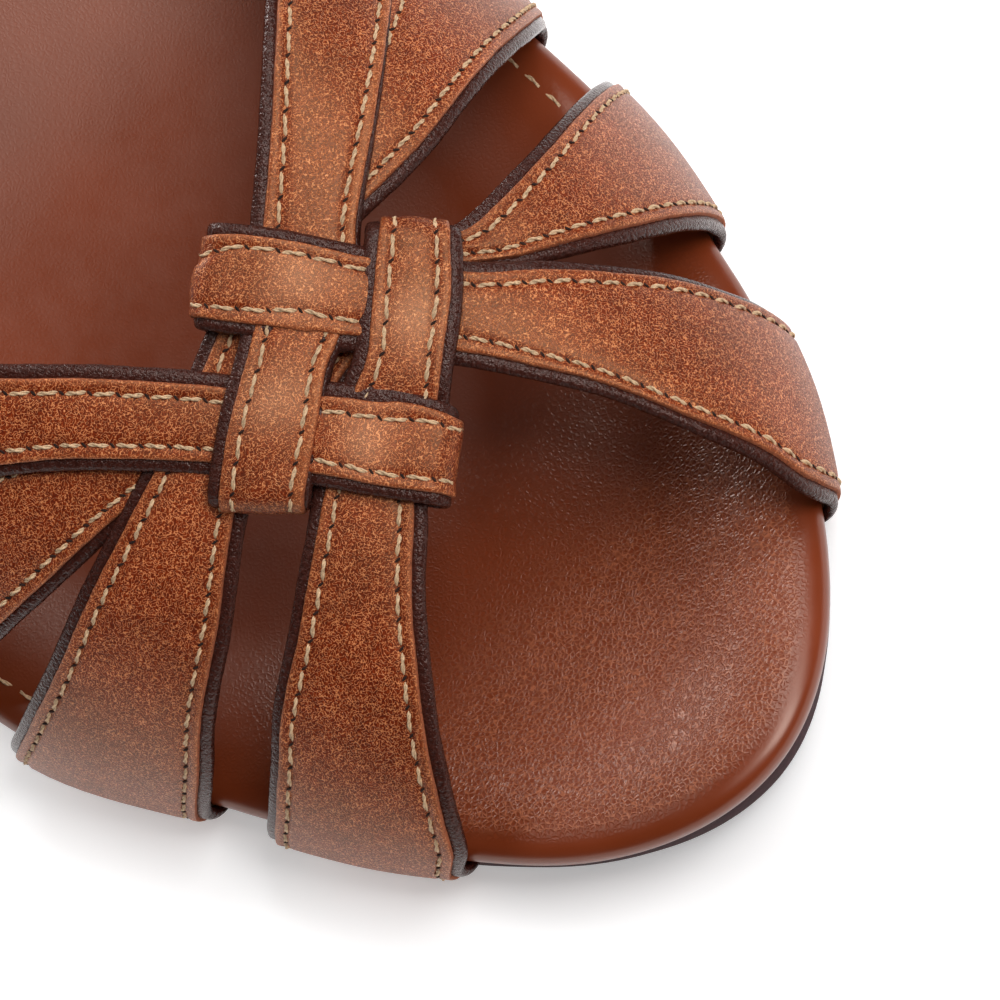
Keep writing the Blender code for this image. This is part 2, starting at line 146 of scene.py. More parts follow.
# front angle, front station, rear angle, rear station, height of the inner face over the foot.
# Where straps cross or lie on each other, they reach up to 1 mm into one another.
MAIN_STRAPS = {
    "front_medial": (
        (0, 224.6, 0, 205.0, 0.0),
        (13, 225.0, 12, 205.0, 0.0),
        (28, 223.6, 27, 203.7, 0.0),
        (53, 217.0, 48, 199.3, 0.4),
        (71, 206.8, 61.5, 195.0, 1.2),
        (81, 199.0, 70, 191.7, 1.7),
        (85.5, 194.4, 75.5, 187.6, 1.8),
        (89.8, 189.5, 80.5, 183.8, 3.2),
        (92.2, 184.0, 85.1, 178.2, 3.5),
        (94.7, 179.4, 88.5, 173.8, 3.3),
    ),
    "front_lateral": (
        (180, 221.5, 180, 201.4, 0.0),
        (165, 223.0, 165, 203.5, 0.0),
        (148, 221.9, 150, 203.9, 0.0),
        (132, 219.2, 138, 203.0, 0.2),
        (115, 214.4, 122, 201.3, 0.8),
        (99, 207.3, 109, 198.3, 1.5),
        (93.6, 204.0, 101.6, 195.7, 1.7),
        (89, 201.4, 96, 193.8, 1.8),
        (84.2, 198.6, 90.8, 191.3, 3.2),
        (75.6, 194.0, 85.0, 187.2, 3.5),
        (69.9, 189.9, 79.5, 183.7, 3.3),
    ),
    "rear_lateral": (
        (180, 141.0, 180, 122.0, 0.0),
        (165, 147.0, 165, 127.0, 0.0),
        (148, 155.0, 145, 137.0, 0.2),
        (130, 165.5, 124, 153.5, 0.8),
        (118, 174.6, 108, 169.0, 1.7),
        (111, 182.0, 101.5, 176.4, 1.9),
        (106, 188.3, 97.2, 182.2, 1.8),
        (103, 192.2, 94.8, 186.4, 1.9),
        (100.3, 196.2, 91.5, 190.6, 3.2),
        (97.2, 201.0, 89.3, 194.8, 3.5),
        (94.4, 205.0, 87.0, 199.0, 3.3),
    ),
    "rear_medial": (
        (0, 140.5, 0, 122.0, 0.0),
        (15, 148.0, 15, 129.0, 0.0),
        (35, 159.5, 34, 142.0, 0.3),
        (54, 169.8, 57, 156.5, 1.0),
        (67, 176.6, 72, 165.6, 1.7),
        (77.5, 182.0, 86.5, 174.8, 1.7),
        (82.5, 185.4, 89.5, 177.8, 1.8),
        (89.8, 189.3, 93.5, 181.6, 3.2),
        (95.0, 192.8, 101.4, 185.2, 3.5),
        (101.2, 195.7, 108.1, 188.0, 3.3),
    ),
}
UNDER_STRAPS = {
    "second_medial": (
        (0, 193.8, 0, 171.8, 0.0),
        (17, 196.2, 12, 176.2, 0.0),
        (34, 197.3, 30, 181.4, 0.0),
        (48, 196.8, 48, 185.5, 0.0),
        (61, 195.0, 66, 187.7, 0.0),
        (70, 192.4, 73, 185.8, 0.0),
        (79, 189.6, 79, 183.6, 0.0),
        (86, 190.8, 86, 185.0, 0.0),
        (93.5, 192.4, 93.5, 186.6, 0.0),
    ),
    "second_lateral": (
        (180, 195.2, 180, 172.6, 0.0),
        (165, 197.6, 165, 177.5, 0.0),
        (151, 198.1, 146, 181.2, 0.0),
        (127, 196.6, 127, 182.3, 0.5),
        (108, 191.9, 112.5, 182.0, 0.8),
        (99, 188.6, 102, 180.6, 0.8),
        (91, 184.8, 94, 178.4, 0.8),
    ),
    "third_medial": (
        (0, 162.5, 0, 144.5, 0.0),
        (14, 168.4, 14, 150.2, 0.1),
        (30, 173.6, 33, 158.6, 0.2),
        (56, 179.8, 57, 168.4, 0.3),
        (68, 181.6, 71, 174.0, 0.3),
        (79, 182.0, 83, 176.6, 0.3),
    ),
    "third_lateral": (
        (180, 167.0, 180, 146.0, 0.0),
        (165, 170.4, 165, 150.0, 0.0),
        (149, 175.4, 147, 157.0, 0.0),
        (133, 180.0, 128, 166.0, 0.0),
        (120, 183.0, 112, 173.6, 0.0),
        (108, 186.0, 103, 178.6, 0.0),
    ),
}

EdgePoint = namedtuple("EdgePoint", "inset height band sway")
FACE, PAINT, RAW, LINING = range(4)
# Half a strap's section from the lining round the painted edge to the leather face.
# sway is the share of the hand-made unevenness that the point takes.
EDGE_PROFILE = (
    EdgePoint(2.60, 0.00, LINING, 0.0),
    EdgePoint(0.95, 0.00, PAINT, 0.3),
    EdgePoint(0.60, 0.05, PAINT, 0.8),
    EdgePoint(0.28, 0.19, PAINT, 1.0),
    EdgePoint(0.08, 0.44, PAINT, 1.0),
    EdgePoint(0.00, 0.76, PAINT, 1.0),
    EdgePoint(0.05, 1.06, PAINT, 1.0),
    EdgePoint(0.20, 1.30, PAINT, 1.0),
    EdgePoint(0.45, 1.44, PAINT, 0.8),
    EdgePoint(0.80, 1.50, PAINT, 0.4),
    EdgePoint(1.12, 1.50, PAINT, 0.2),
    EdgePoint(1.28, 1.46, RAW, -1.0),
    EdgePoint(1.30, 1.66, RAW, -1.3),
    EdgePoint(1.35, 1.84, FACE, -1.1),
    EdgePoint(1.44, 1.93, FACE, -0.8),
    EdgePoint(1.64, 1.97, FACE, -0.4),
    EdgePoint(2.00, 1.97, FACE, 0.0),
    EdgePoint(2.30, 1.91, FACE, 0.0),
    EdgePoint(2.50, 1.83, FACE, 0.0),
    EdgePoint(2.65, 1.80, FACE, 0.0),
    EdgePoint(2.80, 1.83, FACE, 0.0),
    EdgePoint(3.05, 1.92, FACE, 0.0),
    EdgePoint(3.45, 2.00, FACE, 0.0),
)
# stitch pitch along a strap, as a share of the pitch on the loops
PITCH_SHARE = {"rear_medial": 0.94, "rear_lateral": 0.93, "front_lateral": 0.94,
               "front_medial": 0.83, "second_medial": 0.83, "second_lateral": 0.86,
               "third_medial": 0.80, "third_lateral": 0.80}
# where the leather face reaches nearly to the painted edge: how much nearer, in mm
WIDE_FACE = {("rear_medial", False): 0.75}
FULL_HEIGHT = 2.0         # thickness that the profile is drawn for
RAW_INSET = 1.3           # from the painted edge in to the cut edge of the leather face
FACE_CROWN = 0.07         # how much thicker a strap is in its middle
GROOVE_WIDTH = 0.45       # half width of the groove that a stitch row lies in
THREAD_PULL = 0.09        # how much deeper the groove is at a needle hole

# name of the power setting, degrees from the inner side towards the heel, degrees up, side in m
SOFTBOXES = (
    ("rear", 90.0, 10.0, 0.50),
    ("front", -45.0, 55.0, 0.60),
    ("inner", 0.0, 58.0, 0.50),
    ("inner_rear", 45.0, 55.0, 0.50),
    ("outer_rear", 135.0, 55.0, 0.50),
    ("outer", -90.0, 68.0, 0.50),
)
LAMP_AIM = (0.0, -0.05, 0.0)    # m, on the floor under the ball of the foot
LAMP_DISTANCE = 1.3       # m
FLOOR_HALF = 3.0          # m
CAMERA_ANGLES = (-3.0, 60.0, -45.0)    # azimuth, elevation and roll in degrees
CAMERA_AIM = (2.748, 197.472, 10.0)    # x, station and height
CAMERA_DISTANCE = 0.9     # m
FOCAL_LENGTH = 322.4      # on a frame 36 mm wide


# ---------------------------------------------------------------- settings
def linear(code):
    """Linear colour of an sRGB hex code."""
    shares = [int(code[i:i + 2], 16) / 255.0 for i in (0, 2, 4)]
    return tuple(v / 12.92 if v <= 0.04045 else ((v + 0.055) / 1.055) ** 2.4 for v in shares)


def length_setting(name, description, default):
    """A length in metres that a user can change."""
    return FloatProperty(name=name, description=description, default=default, min=0.0,
                         unit="LENGTH", precision=5)


def colour_setting(name, description, code):
    """A colour that a user can change."""
    return FloatVectorProperty(name=name, description=description, subtype="COLOR", size=3,
                               min=0.0, max=1.0, default=linear(code))


def power_setting(name, description, default):
    """A lamp's power that a user can change."""
    return FloatProperty(name=name, description=description, default=default, min=0.0,
                         unit="POWER")


class SlideStrapSettings(bpy.types.PropertyGroup):
    """Sizes and colours of the straps and their stitching."""

    thickness: length_setting("Thickness", "Both plies and the lining together", 0.002)
    skived: length_setting("Skived thickness", "Thickness of the end under the footbed", 0.001)
    fold_radius: length_setting("Fold radius", "Inner radius of a loop's folded end", 0.0005)
    row_inset: length_setting("Row inset", "From the painted edge in to a stitch row", 0.00265)
    pitch: length_setting("Stitch pitch", "One stitch and its hole, on the loops", 0.0031)
    thread: length_setting("Thread", "Thickness of the thread", 0.00046)
    sway: length_setting("Edge sway", "Unevenness of the hand-painted edges", 0.00004)
    face: colour_setting("Face", "Burnished leather", "7c2604")
    # pale crests: partly rubbed grain, partly a painted glint of the lamps
    face_light: colour_setting("Face, light", "Crests of the grain, rubbed pale", "c97d4e")
    face_dark: colour_setting("Face, dark", "Pits that took more dye", "581404")
    paint: colour_setting("Painted edge", "Edge paint", "391b15")
    raw: colour_setting("Cut edge", "Undyed cut of the leather face", "9a5230")
    lining: colour_setting("Lining", "Calf lining", "a88660")
    thread_colour: colour_setting("Thread colour", "Waxed thread", "c9a883")


class SlideFootbedSettings(bpy.types.PropertyGroup):
    """Sizes and colours of the padded footbed."""

    roll_width: length_setting("Roll width", "Upper side of the rolled edge", 0.0062)
    roll_height: length_setting("Roll height", "Rolled edge over its widest line", 0.0029)
    dish: length_setting("Dish", "How far the foot's place lies below the roll", 0.0008)
    toe_dish: length_setting("Toe dish", "How much deeper the dish is under the toes", 0.0011)
    grain: length_setting("Grain", "Width of a pebble of the leather's grain", 0.0005)
    leather: colour_setting("Leather", "Semi-aniline calf", "743015")
    # pale crease colour: a painted highlight of the grain's lit ridges
    crest: colour_setting("Leather, crests", "Creases of the grain, rubbed pale", "bd7250")


class SlideSoleSettings(bpy.types.PropertyGroup):
    """Sizes and colours of the outsole and the heel."""

    top_piece: length_setting("Top piece", "Thickness of the heel's rubber tip", 0.005)
    cover_edge: length_setting("Cover's edges", "Most that its edges are rounded", 0.0006)
    top_piece_edge: length_setting("Top piece's edges", "Most that they are rounded", 0.0004)
    sole_colour: colour_setting("Outsole", "Dyed leather sole with a sealed edge", "38191d")
    heel_colour: colour_setting("Heel", "Leather cover of the heel", "74331a")


class SlideStageSettings(bpy.types.PropertyGroup):
    """Light and floor."""

    rear: power_setting("Rear", "Low softbox behind the heel", 18.5)
    front: power_setting("Front", "High softbox off the toe's inner side", 10.4)
    inner: power_setting("Inner side", "High softbox over the inner side", 3.6)
    inner_rear: power_setting("Inner side, rear", "High softbox behind the inner side", 4.9)
    outer_rear: power_setting("Outer side, rear", "High softbox behind the outer side", 2.0)
    outer: power_setting("Outer side", "High softbox over the outer side", 1.5)
    table: FloatProperty(name="Table", description="Glow of the light table", default=0.42,
                         min=0.0)
    floor: colour_setting("Floor", "Acrylic sheet", "f4f4f4")


# ---------------------------------------------------------------- the last
def smooth_table(stations, values):
    """Return a smooth function through the values that never overshoots them."""
    knots, heights = np.array(stations, float), np.array(values, float)
    steps = np.diff(knots)
    slopes = np.diff(heights) / steps
    tangents = [slopes[0]]
    for i in range(1, len(slopes)):
        before, after = slopes[i - 1], slopes[i]
        if before * after <= 0.0:
            tangents.append(0.0)
            continue
        near, far = 2.0 * steps[i] + steps[i - 1], steps[i] + 2.0 * steps[i - 1]
        tangents.append((near + far) / (near / before + far / after))
    tangents = np.array(tangents + [slopes[-1]])

    def value_at(station):
        station = np.clip(station, knots[0], knots[-1])
        i = np.clip(np.searchsorted(knots, station) - 1, 0, len(steps) - 1)
        t = (station - knots[i]) / steps[i]
        return ((2 * t ** 3 - 3 * t ** 2 + 1) * heights[i]
                + (t ** 3 - 2 * t ** 2 + t) * steps[i] * tangents[i]
                + (3 * t ** 2 - 2 * t ** 3) * heights[i + 1]
                + (t ** 3 - t ** 2) * steps[i] * tangents[i + 1])

    return value_at


STATIONS = [row.station for row in LAST]
lateral_width = smooth_table(STATIONS, [row.lateral for row in LAST])
medial_width = smooth_table(STATIONS, [row.medial for row in LAST])
sole_height = smooth_table(STATIONS, [row.sole for row in LAST])
ridge_height = smooth_table(STATIONS, [row.top for row in LAST])


def half_width(station, side):
    """Distance from the long axis to the footbed's edge; side is +1 medial, -1 lateral."""
    toe = np.maximum(0.0, (station - TOE_ROUND_FROM) / (LENGTH - TOE_ROUND_FROM))
    heel = np.maximum(0.0, (HEEL_ROUND_TO - station) / HEEL_ROUND_TO)
    rounding = np.sqrt(np.maximum(0.0, 1.0 - toe ** 2)) * np.sqrt(np.maximum(0.0, 1.0 - heel ** 2))
    return np.where(side > 0, medial_width(station), lateral_width(station)) * rounding


def share_along(places, start, length):
    """Share that grows evenly from 0 at the start to 1 a length further on."""
    return np.clip((places - start) / length, 0.0, 1.0)


def unit(vectors):
    """The vectors at length one."""
    return vectors / np.maximum(np.linalg.norm(vectors, axis=-1, keepdims=True), 1e-12)


def place(points):
    """Turn rows of x, station and z in millimetres into points in metres."""
    flat = np.asarray(points, float).reshape(-1, 3)
    return np.stack((flat[:, 0] + CENTRE_X, LENGTH / 2.0 - flat[:, 1], flat[:, 2]), axis=1) * MM


def edge_normal(station, side):
    """Outward direction of the footbed's edge in plan, as x and station."""
    step = 0.25
    slope = (half_width(station + step, side) - half_width(station - step, side)) / (2 * step)
    length = np.hypot(1.0, slope)
    return side / length, -slope / length


def foot_point(station, angle):
    """Points on the foot's surface; below 0 or over 180 the angle counts mm round the lip."""
    station, angle = np.broadcast_arrays(np.asarray(station, float), np.asarray(angle, float))
    side = np.where(angle <= 90.0, 1.0, -1.0)
    rise = np.where(side > 0, angle, 180.0 - angle)
    normal_x, normal_s = edge_normal(station, side)
    wall = half_width(station, side)
    radius = LIP_RADIUS + CLEARANCE
    turn = np.clip(-rise / radius, 0.0, math.pi / 2.0)
    inward = LIP_RADIUS - radius * np.cos(turn) + np.maximum(0.0, -rise - radius * math.pi / 2)
    s = station - normal_s * inward
    low = (side * wall - normal_x * inward, s,
           sole_height(s) + EDGE_Z - radius * np.sin(turn))
    turn = np.radians(np.clip(rise, 0.0, 90.0))
    spread = np.where(rise < 90.0, np.abs(np.cos(turn)) ** SIDE_POWER, 0.0)
    s = station + normal_s * CLEARANCE * spread
    foot_z = sole_height(s) + EDGE_Z
    high = (RIDGE_X + (side * wall + normal_x * CLEARANCE - RIDGE_X) * spread, s,
            foot_z + (ridge_height(station) - foot_z) * np.sin(turn) ** CROWN_POWER)
    return np.where((rise < 0.0)[..., None], np.stack(low, -1), np.stack(high, -1))


def foot_normal(station, angle):
    """Outward direction of the foot's surface."""
    step = 0.2
    along = foot_point(station + step, angle) - foot_point(station - step, angle)
    around = foot_point(station, angle + step) - foot_point(station, angle - step)
    return unit(np.cross(along, around))


def distances(points):
    """Distance along a row of points, from the first."""
    return np.concatenate(([0.0], np.cumsum(np.linalg.norm(np.diff(points, axis=0), axis=1))))


# ---------------------------------------------------------------- meshes
def add_object(name, data):
    """A new object in the scene."""
    item = bpy.data.objects.new(name, data)
    bpy.context.scene.collection.objects.link(item)
    return item


def shade_round(mesh):
    """Shade smooth, with an edge wherever the surface turns sharply."""
    mesh.shade_smooth()
    mesh.set_sharp_from_angle(angle=math.radians(38.0))


def make_piece(name, points, faces, materials, bands=None, tags=None):
    """A mesh with its faces turned outward; bands are material numbers of the faces."""
    mesh = bpy.data.meshes.new(name)
    mesh.from_pydata([tuple(p) for p in points], [], [tuple(f) for f in faces])
    for material in materials:
        mesh.materials.append(material)
    if bands is not None:
        mesh.polygons.foreach_set("material_index", bands)
    for tag, values in (tags or {}).items():
        layer = mesh.attributes.new(tag, "FLOAT", "POINT")
        layer.data.foreach_set("value", np.asarray(values, np.float32))
    bm = bmesh.new()
    bm.from_mesh(mesh)
    bmesh.ops.recalc_face_normals(bm, faces=bm.faces)
    bm.to_mesh(mesh)
    bm.free()
    shade_round(mesh)
    return add_object(name, mesh)


def tube_faces(rings, columns):
    """Faces between rings of points that close on themselves."""
    k, j = np.meshgrid(np.arange(rings - 1), np.arange(columns), indexing="ij")
    k, j = k.ravel(), j.ravel()
    nxt = (j + 1) % columns
    return np.stack((k * columns + j, k * columns + nxt,
                     (k + 1) * columns + nxt, (k + 1) * columns + j), axis=1)


def closed_tubes(count, rings, corners):
    """Faces of tubes with closed ends, whose points follow one another."""
    tube = tube_faces(rings, corners).tolist()
    tube += [list(range(corners)), list(range((rings - 1) * corners, rings * corners))]
    return [[v + i * rings * corners for v in face] for i in range(count) for face in tube]


def finish_piece(piece, slot, *nodes):
    """Fix a piece to the shoe and hide the frame's nodes that it stands for; slot is not used."""
    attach(piece, "root")
    for node in nodes:
        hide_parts(node)
    return piece


# ---------------------------------------------------------------- straps
# A strap cut into sections. rows are as in the tables above; bend is how far round the fold a
# section is, back how far beyond it under the loop, and loop its place along the loop;
# straight is how many sections come before the fold.
Ribbon = namedtuple("Ribbon", "rows thick bend back straight loop")


def blend_rows(rows):
    """Smooth a strap's rows with a Catmull-Rom curve through all of their columns."""
    table = np.array([rows[0], *rows, rows[-1]], float)
    t = (np.arange(ROW_STEPS) / ROW_STEPS)[:, None]
    weights = (-t + 2 * t ** 2 - t ** 3, 2 - 5 * t ** 2 + 3 * t ** 3,
               t + 4 * t ** 2 - 3 * t ** 3, t ** 3 - t ** 2)
    spans = [0.5 * sum(w * table[i + k] for k, w in enumerate(weights))
             for i in range(len(rows) - 1)]
    return np.concatenate(spans + [table[-1:]])


def make_ribbon(rows, thick, skived, folded):
    """Sections of a strap: from its tucked end up to the knot and, if folded, round its end."""
    lateral = rows[0][0] > 90
    dense = blend_rows(rows)
    middle = foot_point((dense[:, 1] + dense[:, 3]) / 2, (dense[:, 0] + dense[:, 2]) / 2)
    run = distances(middle)
    spaced = np.linspace(0.0, run[-1], int(run[-1] / SECTION_STEP) + 1)
    upper = np.stack([np.interp(spaced, run, column) for column in dense.T], axis=1)
    below = np.linspace(-TUCK_REACH, 0.0, TUCK_SECTIONS + 1)[:-1]
    angle = 180.0 - below if lateral else below
    _, front, _, rear, height = rows[0]
    tuck = np.stack((angle, np.full_like(angle, front), angle, np.full_like(angle, rear),
                     np.full_like(angle, height)), axis=1)
    share = np.minimum(1.0, -below / (LIP_RADIUS * math.pi / 2.0))
    table = np.concatenate((tuck, upper))
    thickness = np.concatenate((thick + (skived - thick) * share, np.full(len(upper), thick)))
    straight = len(table)
    bend = np.zeros(straight)
    back = np.zeros(straight)
    # how far along its loop a section is: 0 where the loop comes out, 1 at the fold
    out = run[(len(rows) - LOOP_ROWS) * ROW_STEPS]
    loop = np.concatenate((np.full(len(tuck), OFF_LOOP), (spaced - out) / (run[-1] - out)))
    if folded:
        # round the fold and back under the loop, pared thin on the inside
        turns = np.linspace(0.0, math.pi, FOLD_STEPS + 1)[1:]
        bend = np.concatenate((bend, turns, np.full(len(FOLD_BACK), math.pi)))
        back = np.concatenate((back, np.zeros(FOLD_STEPS), FOLD_BACK))
        extra = len(bend) - straight
        table = np.concatenate((table, np.repeat(table[-1:], extra, axis=0)))
        late = share_along(bend[straight:] / math.pi, 0.55, 0.45)
        thickness = np.concatenate((thickness, thick - FOLD_THINNED * late))
        loop = np.concatenate((loop, np.ones(extra)))
    else:
        loop[:] = OFF_LOOP
    return Ribbon(table, thickness, bend, back, straight, loop)


def ribbon_width(ribbon):
    """Width of each section."""
    rows = ribbon.rows
    return np.linalg.norm(foot_point(rows[:, 1], rows[:, 0]) - foot_point(rows[:, 3], rows[:, 2]),
                          axis=1)


def ribbon_points(ribbon, across, height, fold_radius):
    """Points and outward directions at shares of the width and heights over the inner face.

    In a fold the outer face keeps its radius, so the thinned end draws back from inside.
    """
    rows = ribbon.rows
    angle = rows[:, 0:1] + (rows[:, 2:3] - rows[:, 0:1]) * across
    station = rows[:, 1:2] + (rows[:, 3:4] - rows[:, 1:2]) * across
    normal = foot_normal(station, angle)
    inner = foot_point(station, angle) + normal * rows[:, 4:5, None]
    last = ribbon.straight - 1
    travel = unit(inner[last] - inner[last - 1])[None]
    bend = ribbon.bend[:, None, None]
    full = ribbon.thick[last]
    lost = np.where(ribbon.bend > 0.0, full - ribbon.thick, 0.0)[:, None]
    reach = (fold_radius + height + lost)[..., None]
    outward = normal * np.cos(bend) + travel * np.sin(bend)
    points = (inner - normal * fold_radius + outward * reach
              - travel * ribbon.back[:, None, None])
    return points, outward


def sway(run, phase):
    """Slow unevenness along a hand-worked edge, from -1 to 1."""
    waves = ((7.3, 0.45, 1.0), (3.1, 0.33, 2.3), (1.45, 0.22, 4.1))
    return sum(share * np.sin(run * 2.0 * math.pi / size + phase * turn)
               for size, share, turn in waves)


def face_shift(name, rear, insets):
    """How far the leather face and its stitch row move out towards the painted edge."""
    return WIDE_FACE.get((name, rear), 0.0) * share_along(insets, 0.2, 1.1)


def row_line(ribbon, inset, height, fold_radius, rear):
    """Points, outward directions and distances along one stitch row."""
    share = (inset / ribbon_width(ribbon))[:, None]
    points, outward = ribbon_points(ribbon, 1.0 - share if rear else share,
                                    height * ribbon.thick[:, None], fold_radius)
    return points[:, 0], outward[:, 0], distances(points[:, 0])


def stitch_spots(name, ribbon, run, pitch):
    """Distances of the needle holes along a row, counted back from the strap's upper end."""
    start = run[TUCK_SECTIONS] - ROW_RUNS_ON
    spots = [run[min(np.searchsorted(ribbon.bend, LAST_HOLE_BEND), len(run) - 1)]]
    while spots[-1] > start:
        on_loop = np.interp(spots[-1], run, ribbon.loop) > 0.0
        spots.append(spots[-1] - pitch * (1.0 if on_loop else PITCH_SHARE[name]))
    return np.array(spots[::-1])


def strap_side(name, ribbon, width, rear, phase, settings):
    """One side's profile in every section, as shares of the width and as heights."""
    insets, heights, _, shares = np.array(EDGE_PROFILE, float).T
    row_inset = settings.row_inset / MM
    groove = np.exp(-((insets - row_inset) / GROOVE_WIDTH) ** 2)
    # the pressed row runs out where the strap folds
    folded = share_along(ribbon.bend, 0.0, 0.9)[:, None]
    filled = folded * np.maximum(0.0, FULL_HEIGHT - 0.06 - heights) * groove
    inset = row_inset - face_shift(name, rear, row_inset)
    run = row_line(ribbon, inset, 1.0, settings.fold_radius / MM, rear)[2]
    spots = stitch_spots(name, ribbon, run, settings.pitch / MM)
    run = run[:, None]
    drift = sway(run, phase + (1.7 if rear else 0.0)) * (settings.sway / MM)
    # each stitch pulls the leather in at its two holes
    count = np.interp(run, spots, np.arange(len(spots)))
    pulled = THREAD_PULL * (0.5 + 0.5 * np.cos(2.0 * math.pi * count))
    share = (insets + drift * shares - face_shift(name, rear, insets)) / width
    height = (heights + drift * 0.5 * np.maximum(shares, 0.0) + filled
              - pulled * groove * (1.0 - folded))
    return (1.0 - share if rear else share), height


def stretch_and_highlight(loop, across):
    """Share of stretch and painted highlight on a loop: most over its crest, least before its fold,
    where it turns to a little painted shade.
    """
    crest = 0.6 * np.exp(-((loop - 0.4) / 0.26) ** 2)
    slack = 0.14 * np.exp(-((loop - 0.95) / 0.3) ** 2)
    return (crest - slack) * np.sin(math.pi * np.clip(across, 0.0, 1.0)) ** 1.5


def make_strap(name, ribbon, phase, settings, materials):
    """The lined strap with its painted edges, cut leather face and pressed stitch rows."""
    width = ribbon_width(ribbon)[:, None]
    sections = len(width)
    front, front_height = strap_side(name, ribbon, width, False, phase, settings)
    rear, rear_height = strap_side(name, ribbon, width, True, phase, settings)
    face = np.linspace(0.0, 1.0, FACE_COLUMNS + 2)[1:-1]
    across_face = front[:, -1:] + (rear[:, -1:] - front[:, -1:]) * face
    high_face = np.broadcast_to(EDGE_PROFILE[-1].height + FACE_CROWN * np.sin(math.pi * face),
                                (sections, FACE_COLUMNS))
    under = np.linspace(0.0, 1.0, LINING_COLUMNS + 2)[1:-1]
    across_lining = rear[:, :1] + (front[:, :1] - rear[:, :1]) * under
    across = np.concatenate((front, across_face, rear[:, ::-1], across_lining), 1)
    height = np.concatenate((front_height, high_face, rear_height[:, ::-1],
                             np.zeros((sections, LINING_COLUMNS))), 1)
    height = height / FULL_HEIGHT * ribbon.thick[:, None]
    points = ribbon_points(ribbon, across, height, settings.fold_radius / MM)[0]
    bands = [p.band for p in EDGE_PROFILE[:-1]] + [FACE] * (FACE_COLUMNS + 1)
    bands += [p.band for p in EDGE_PROFILE[-2::-1]] + [LINING] * (LINING_COLUMNS + 1)
    from_edge = np.minimum(across, 1.0 - across) * width - RAW_INSET
    # each loop's stretch, with its painted highlight over the dome and painted shade before the fold
    stretched = stretch_and_highlight(ribbon.loop[:, None], across)
    return make_piece("strap_" + name, place(points),
                      closed_tubes(1, sections, across.shape[1]), materials,
                      bands * (sections - 1) + [LINING, LINING],
                      {"from_edge": from_edge.ravel(), "stretched": stretched.ravel()})


def on_row(values, run, along):
    """A row's points or directions at distances along it."""
    return np.stack([np.interp(along, run, values[:, i]) for i in range(3)], -1)


def lay_stitches(points, outward, run, starts, length, thread, slant, dip):
    """Twisted stitches along a line, as points and faces; each dips into the leather."""
    steps, plies, corners = 13, 2, 7
    share = np.linspace(0.0, 1.0, steps)
    along = np.asarray(starts)[:, None] + share * length
    centre = on_row(points, run, along)
    normal = unit(on_row(outward, run, along))
    tangent = unit(np.gradient(centre, axis=1))
    across = unit(np.cross(normal, tangent))
    # a stitch comes up steeply out of its hole, lies flat and goes down again
    swell = np.sin(math.pi * np.clip(share * 0.94 + 0.03, 0.0, 1.0)) ** 0.6
    rise = -dip + (dip + thread * 0.30) * swell
    centre = (centre + normal * rise[None, :, None]
              + across * (slant * (share - 0.5) * 2.0)[None, :, None])
    # its plies wind round each other not quite once, and thin out towards the holes
    taper = 0.45 + 0.55 * swell
    ply = np.arange(plies) * 2.0 * math.pi / plies
    twist = ply[None, :] + (0.4 + share[:, None] * 2.0 * math.pi * 0.85)
    reach = thread * 0.25 * taper[:, None]
    core = (centre[:, :, None]
            + normal[:, :, None] * (np.cos(twist) * reach)[None, ..., None]
            + across[:, :, None] * (np.sin(twist) * reach)[None, ..., None])
    ring = np.arange(corners) * 2.0 * math.pi / corners
    fat = thread * 0.30 * taper
    skin = (core[:, :, :, None]
            + normal[:, :, None, None] * np.cos(ring)[None, None, None, :, None]
            * fat[None, :, None, None, None]
            + across[:, :, None, None] * np.sin(ring)[None, None, None, :, None]
            * fat[None, :, None, None, None])
    skin = skin.transpose(0, 2, 1, 3, 4)          # stitch, ply, step, corner
    return place(skin), closed_tubes(skin.shape[0] * plies, steps, corners)


def needle_holes(points, outward, run, spots):
    """Small pits between the stitches, each a flattened ball sunk in the leather and dark with
    painted shade.
    """
    along = np.asarray(spots)
    centre = on_row(points, run, along)
    normal = unit(on_row(outward, run, along))
    tangent = unit(on_row(points, run, along + 0.1) - centre)
    across = unit(np.cross(normal, tangent))
    long_way = tangent * math.cos(HOLE_TURN) + across * math.sin(HOLE_TURN)
    wide_way = across * math.cos(HOLE_TURN) - tangent * math.sin(HOLE_TURN)
    corners = 10
    ring = np.arange(corners) * 2.0 * math.pi / corners
    long, wide, deep = HOLE_SIZE
    layers = []
    for level in np.radians((-70.0, -25.0, 25.0, 70.0)):
        layers.append(centre[:, None]
                      + long_way[:, None] * (np.cos(ring) * math.cos(level) * long)[:, None]
                      + wide_way[:, None] * (np.sin(ring) * math.cos(level) * wide)[:, None]
                      + normal[:, None] * (math.sin(level) * deep))
    return place(np.stack(layers, axis=1)), closed_tubes(len(along), len(layers), corners)


def merge(parts):
    """Join lists of points and faces into one."""
    points, faces, count = [], [], 0
    for some_points, some_faces in parts:
        points.append(some_points)
        faces += [[v + count for v in face] for face in some_faces]
        count += len(some_points)
    return np.concatenate(points), faces


# ---------------------------------------------------------------- sole-shaped pieces
def outline_edge():
    """The footbed's edge as rows of x and station, heel to toe and back, with normals."""
    turn = math.pi * (np.arange(OUTLINE_PAIRS) + 0.5) / OUTLINE_PAIRS
    stations = LENGTH / 2.0 * (1.0 - np.cos(turn))
    edge = np.concatenate((np.stack((half_width(stations, 1.0), stations), 1),
                           np.stack((-half_width(stations, -1.0), stations), 1)[::-1]))
    run = np.roll(edge, -1, axis=0) - np.roll(edge, 1, axis=0)
    inward = unit(np.stack((-run[:, 1], run[:, 0]), 1))
    return edge, inward


EDGE_LINE, EDGE_INWARD = outline_edge()


def outline_ring(inset, height):
    """A closed ring inside the footbed's edge; height is over the outsole's underside."""
    flat = EDGE_LINE + EDGE_INWARD * inset
    return np.stack((flat[:, 0], flat[:, 1], sole_height(flat[:, 1]) + height), 1)


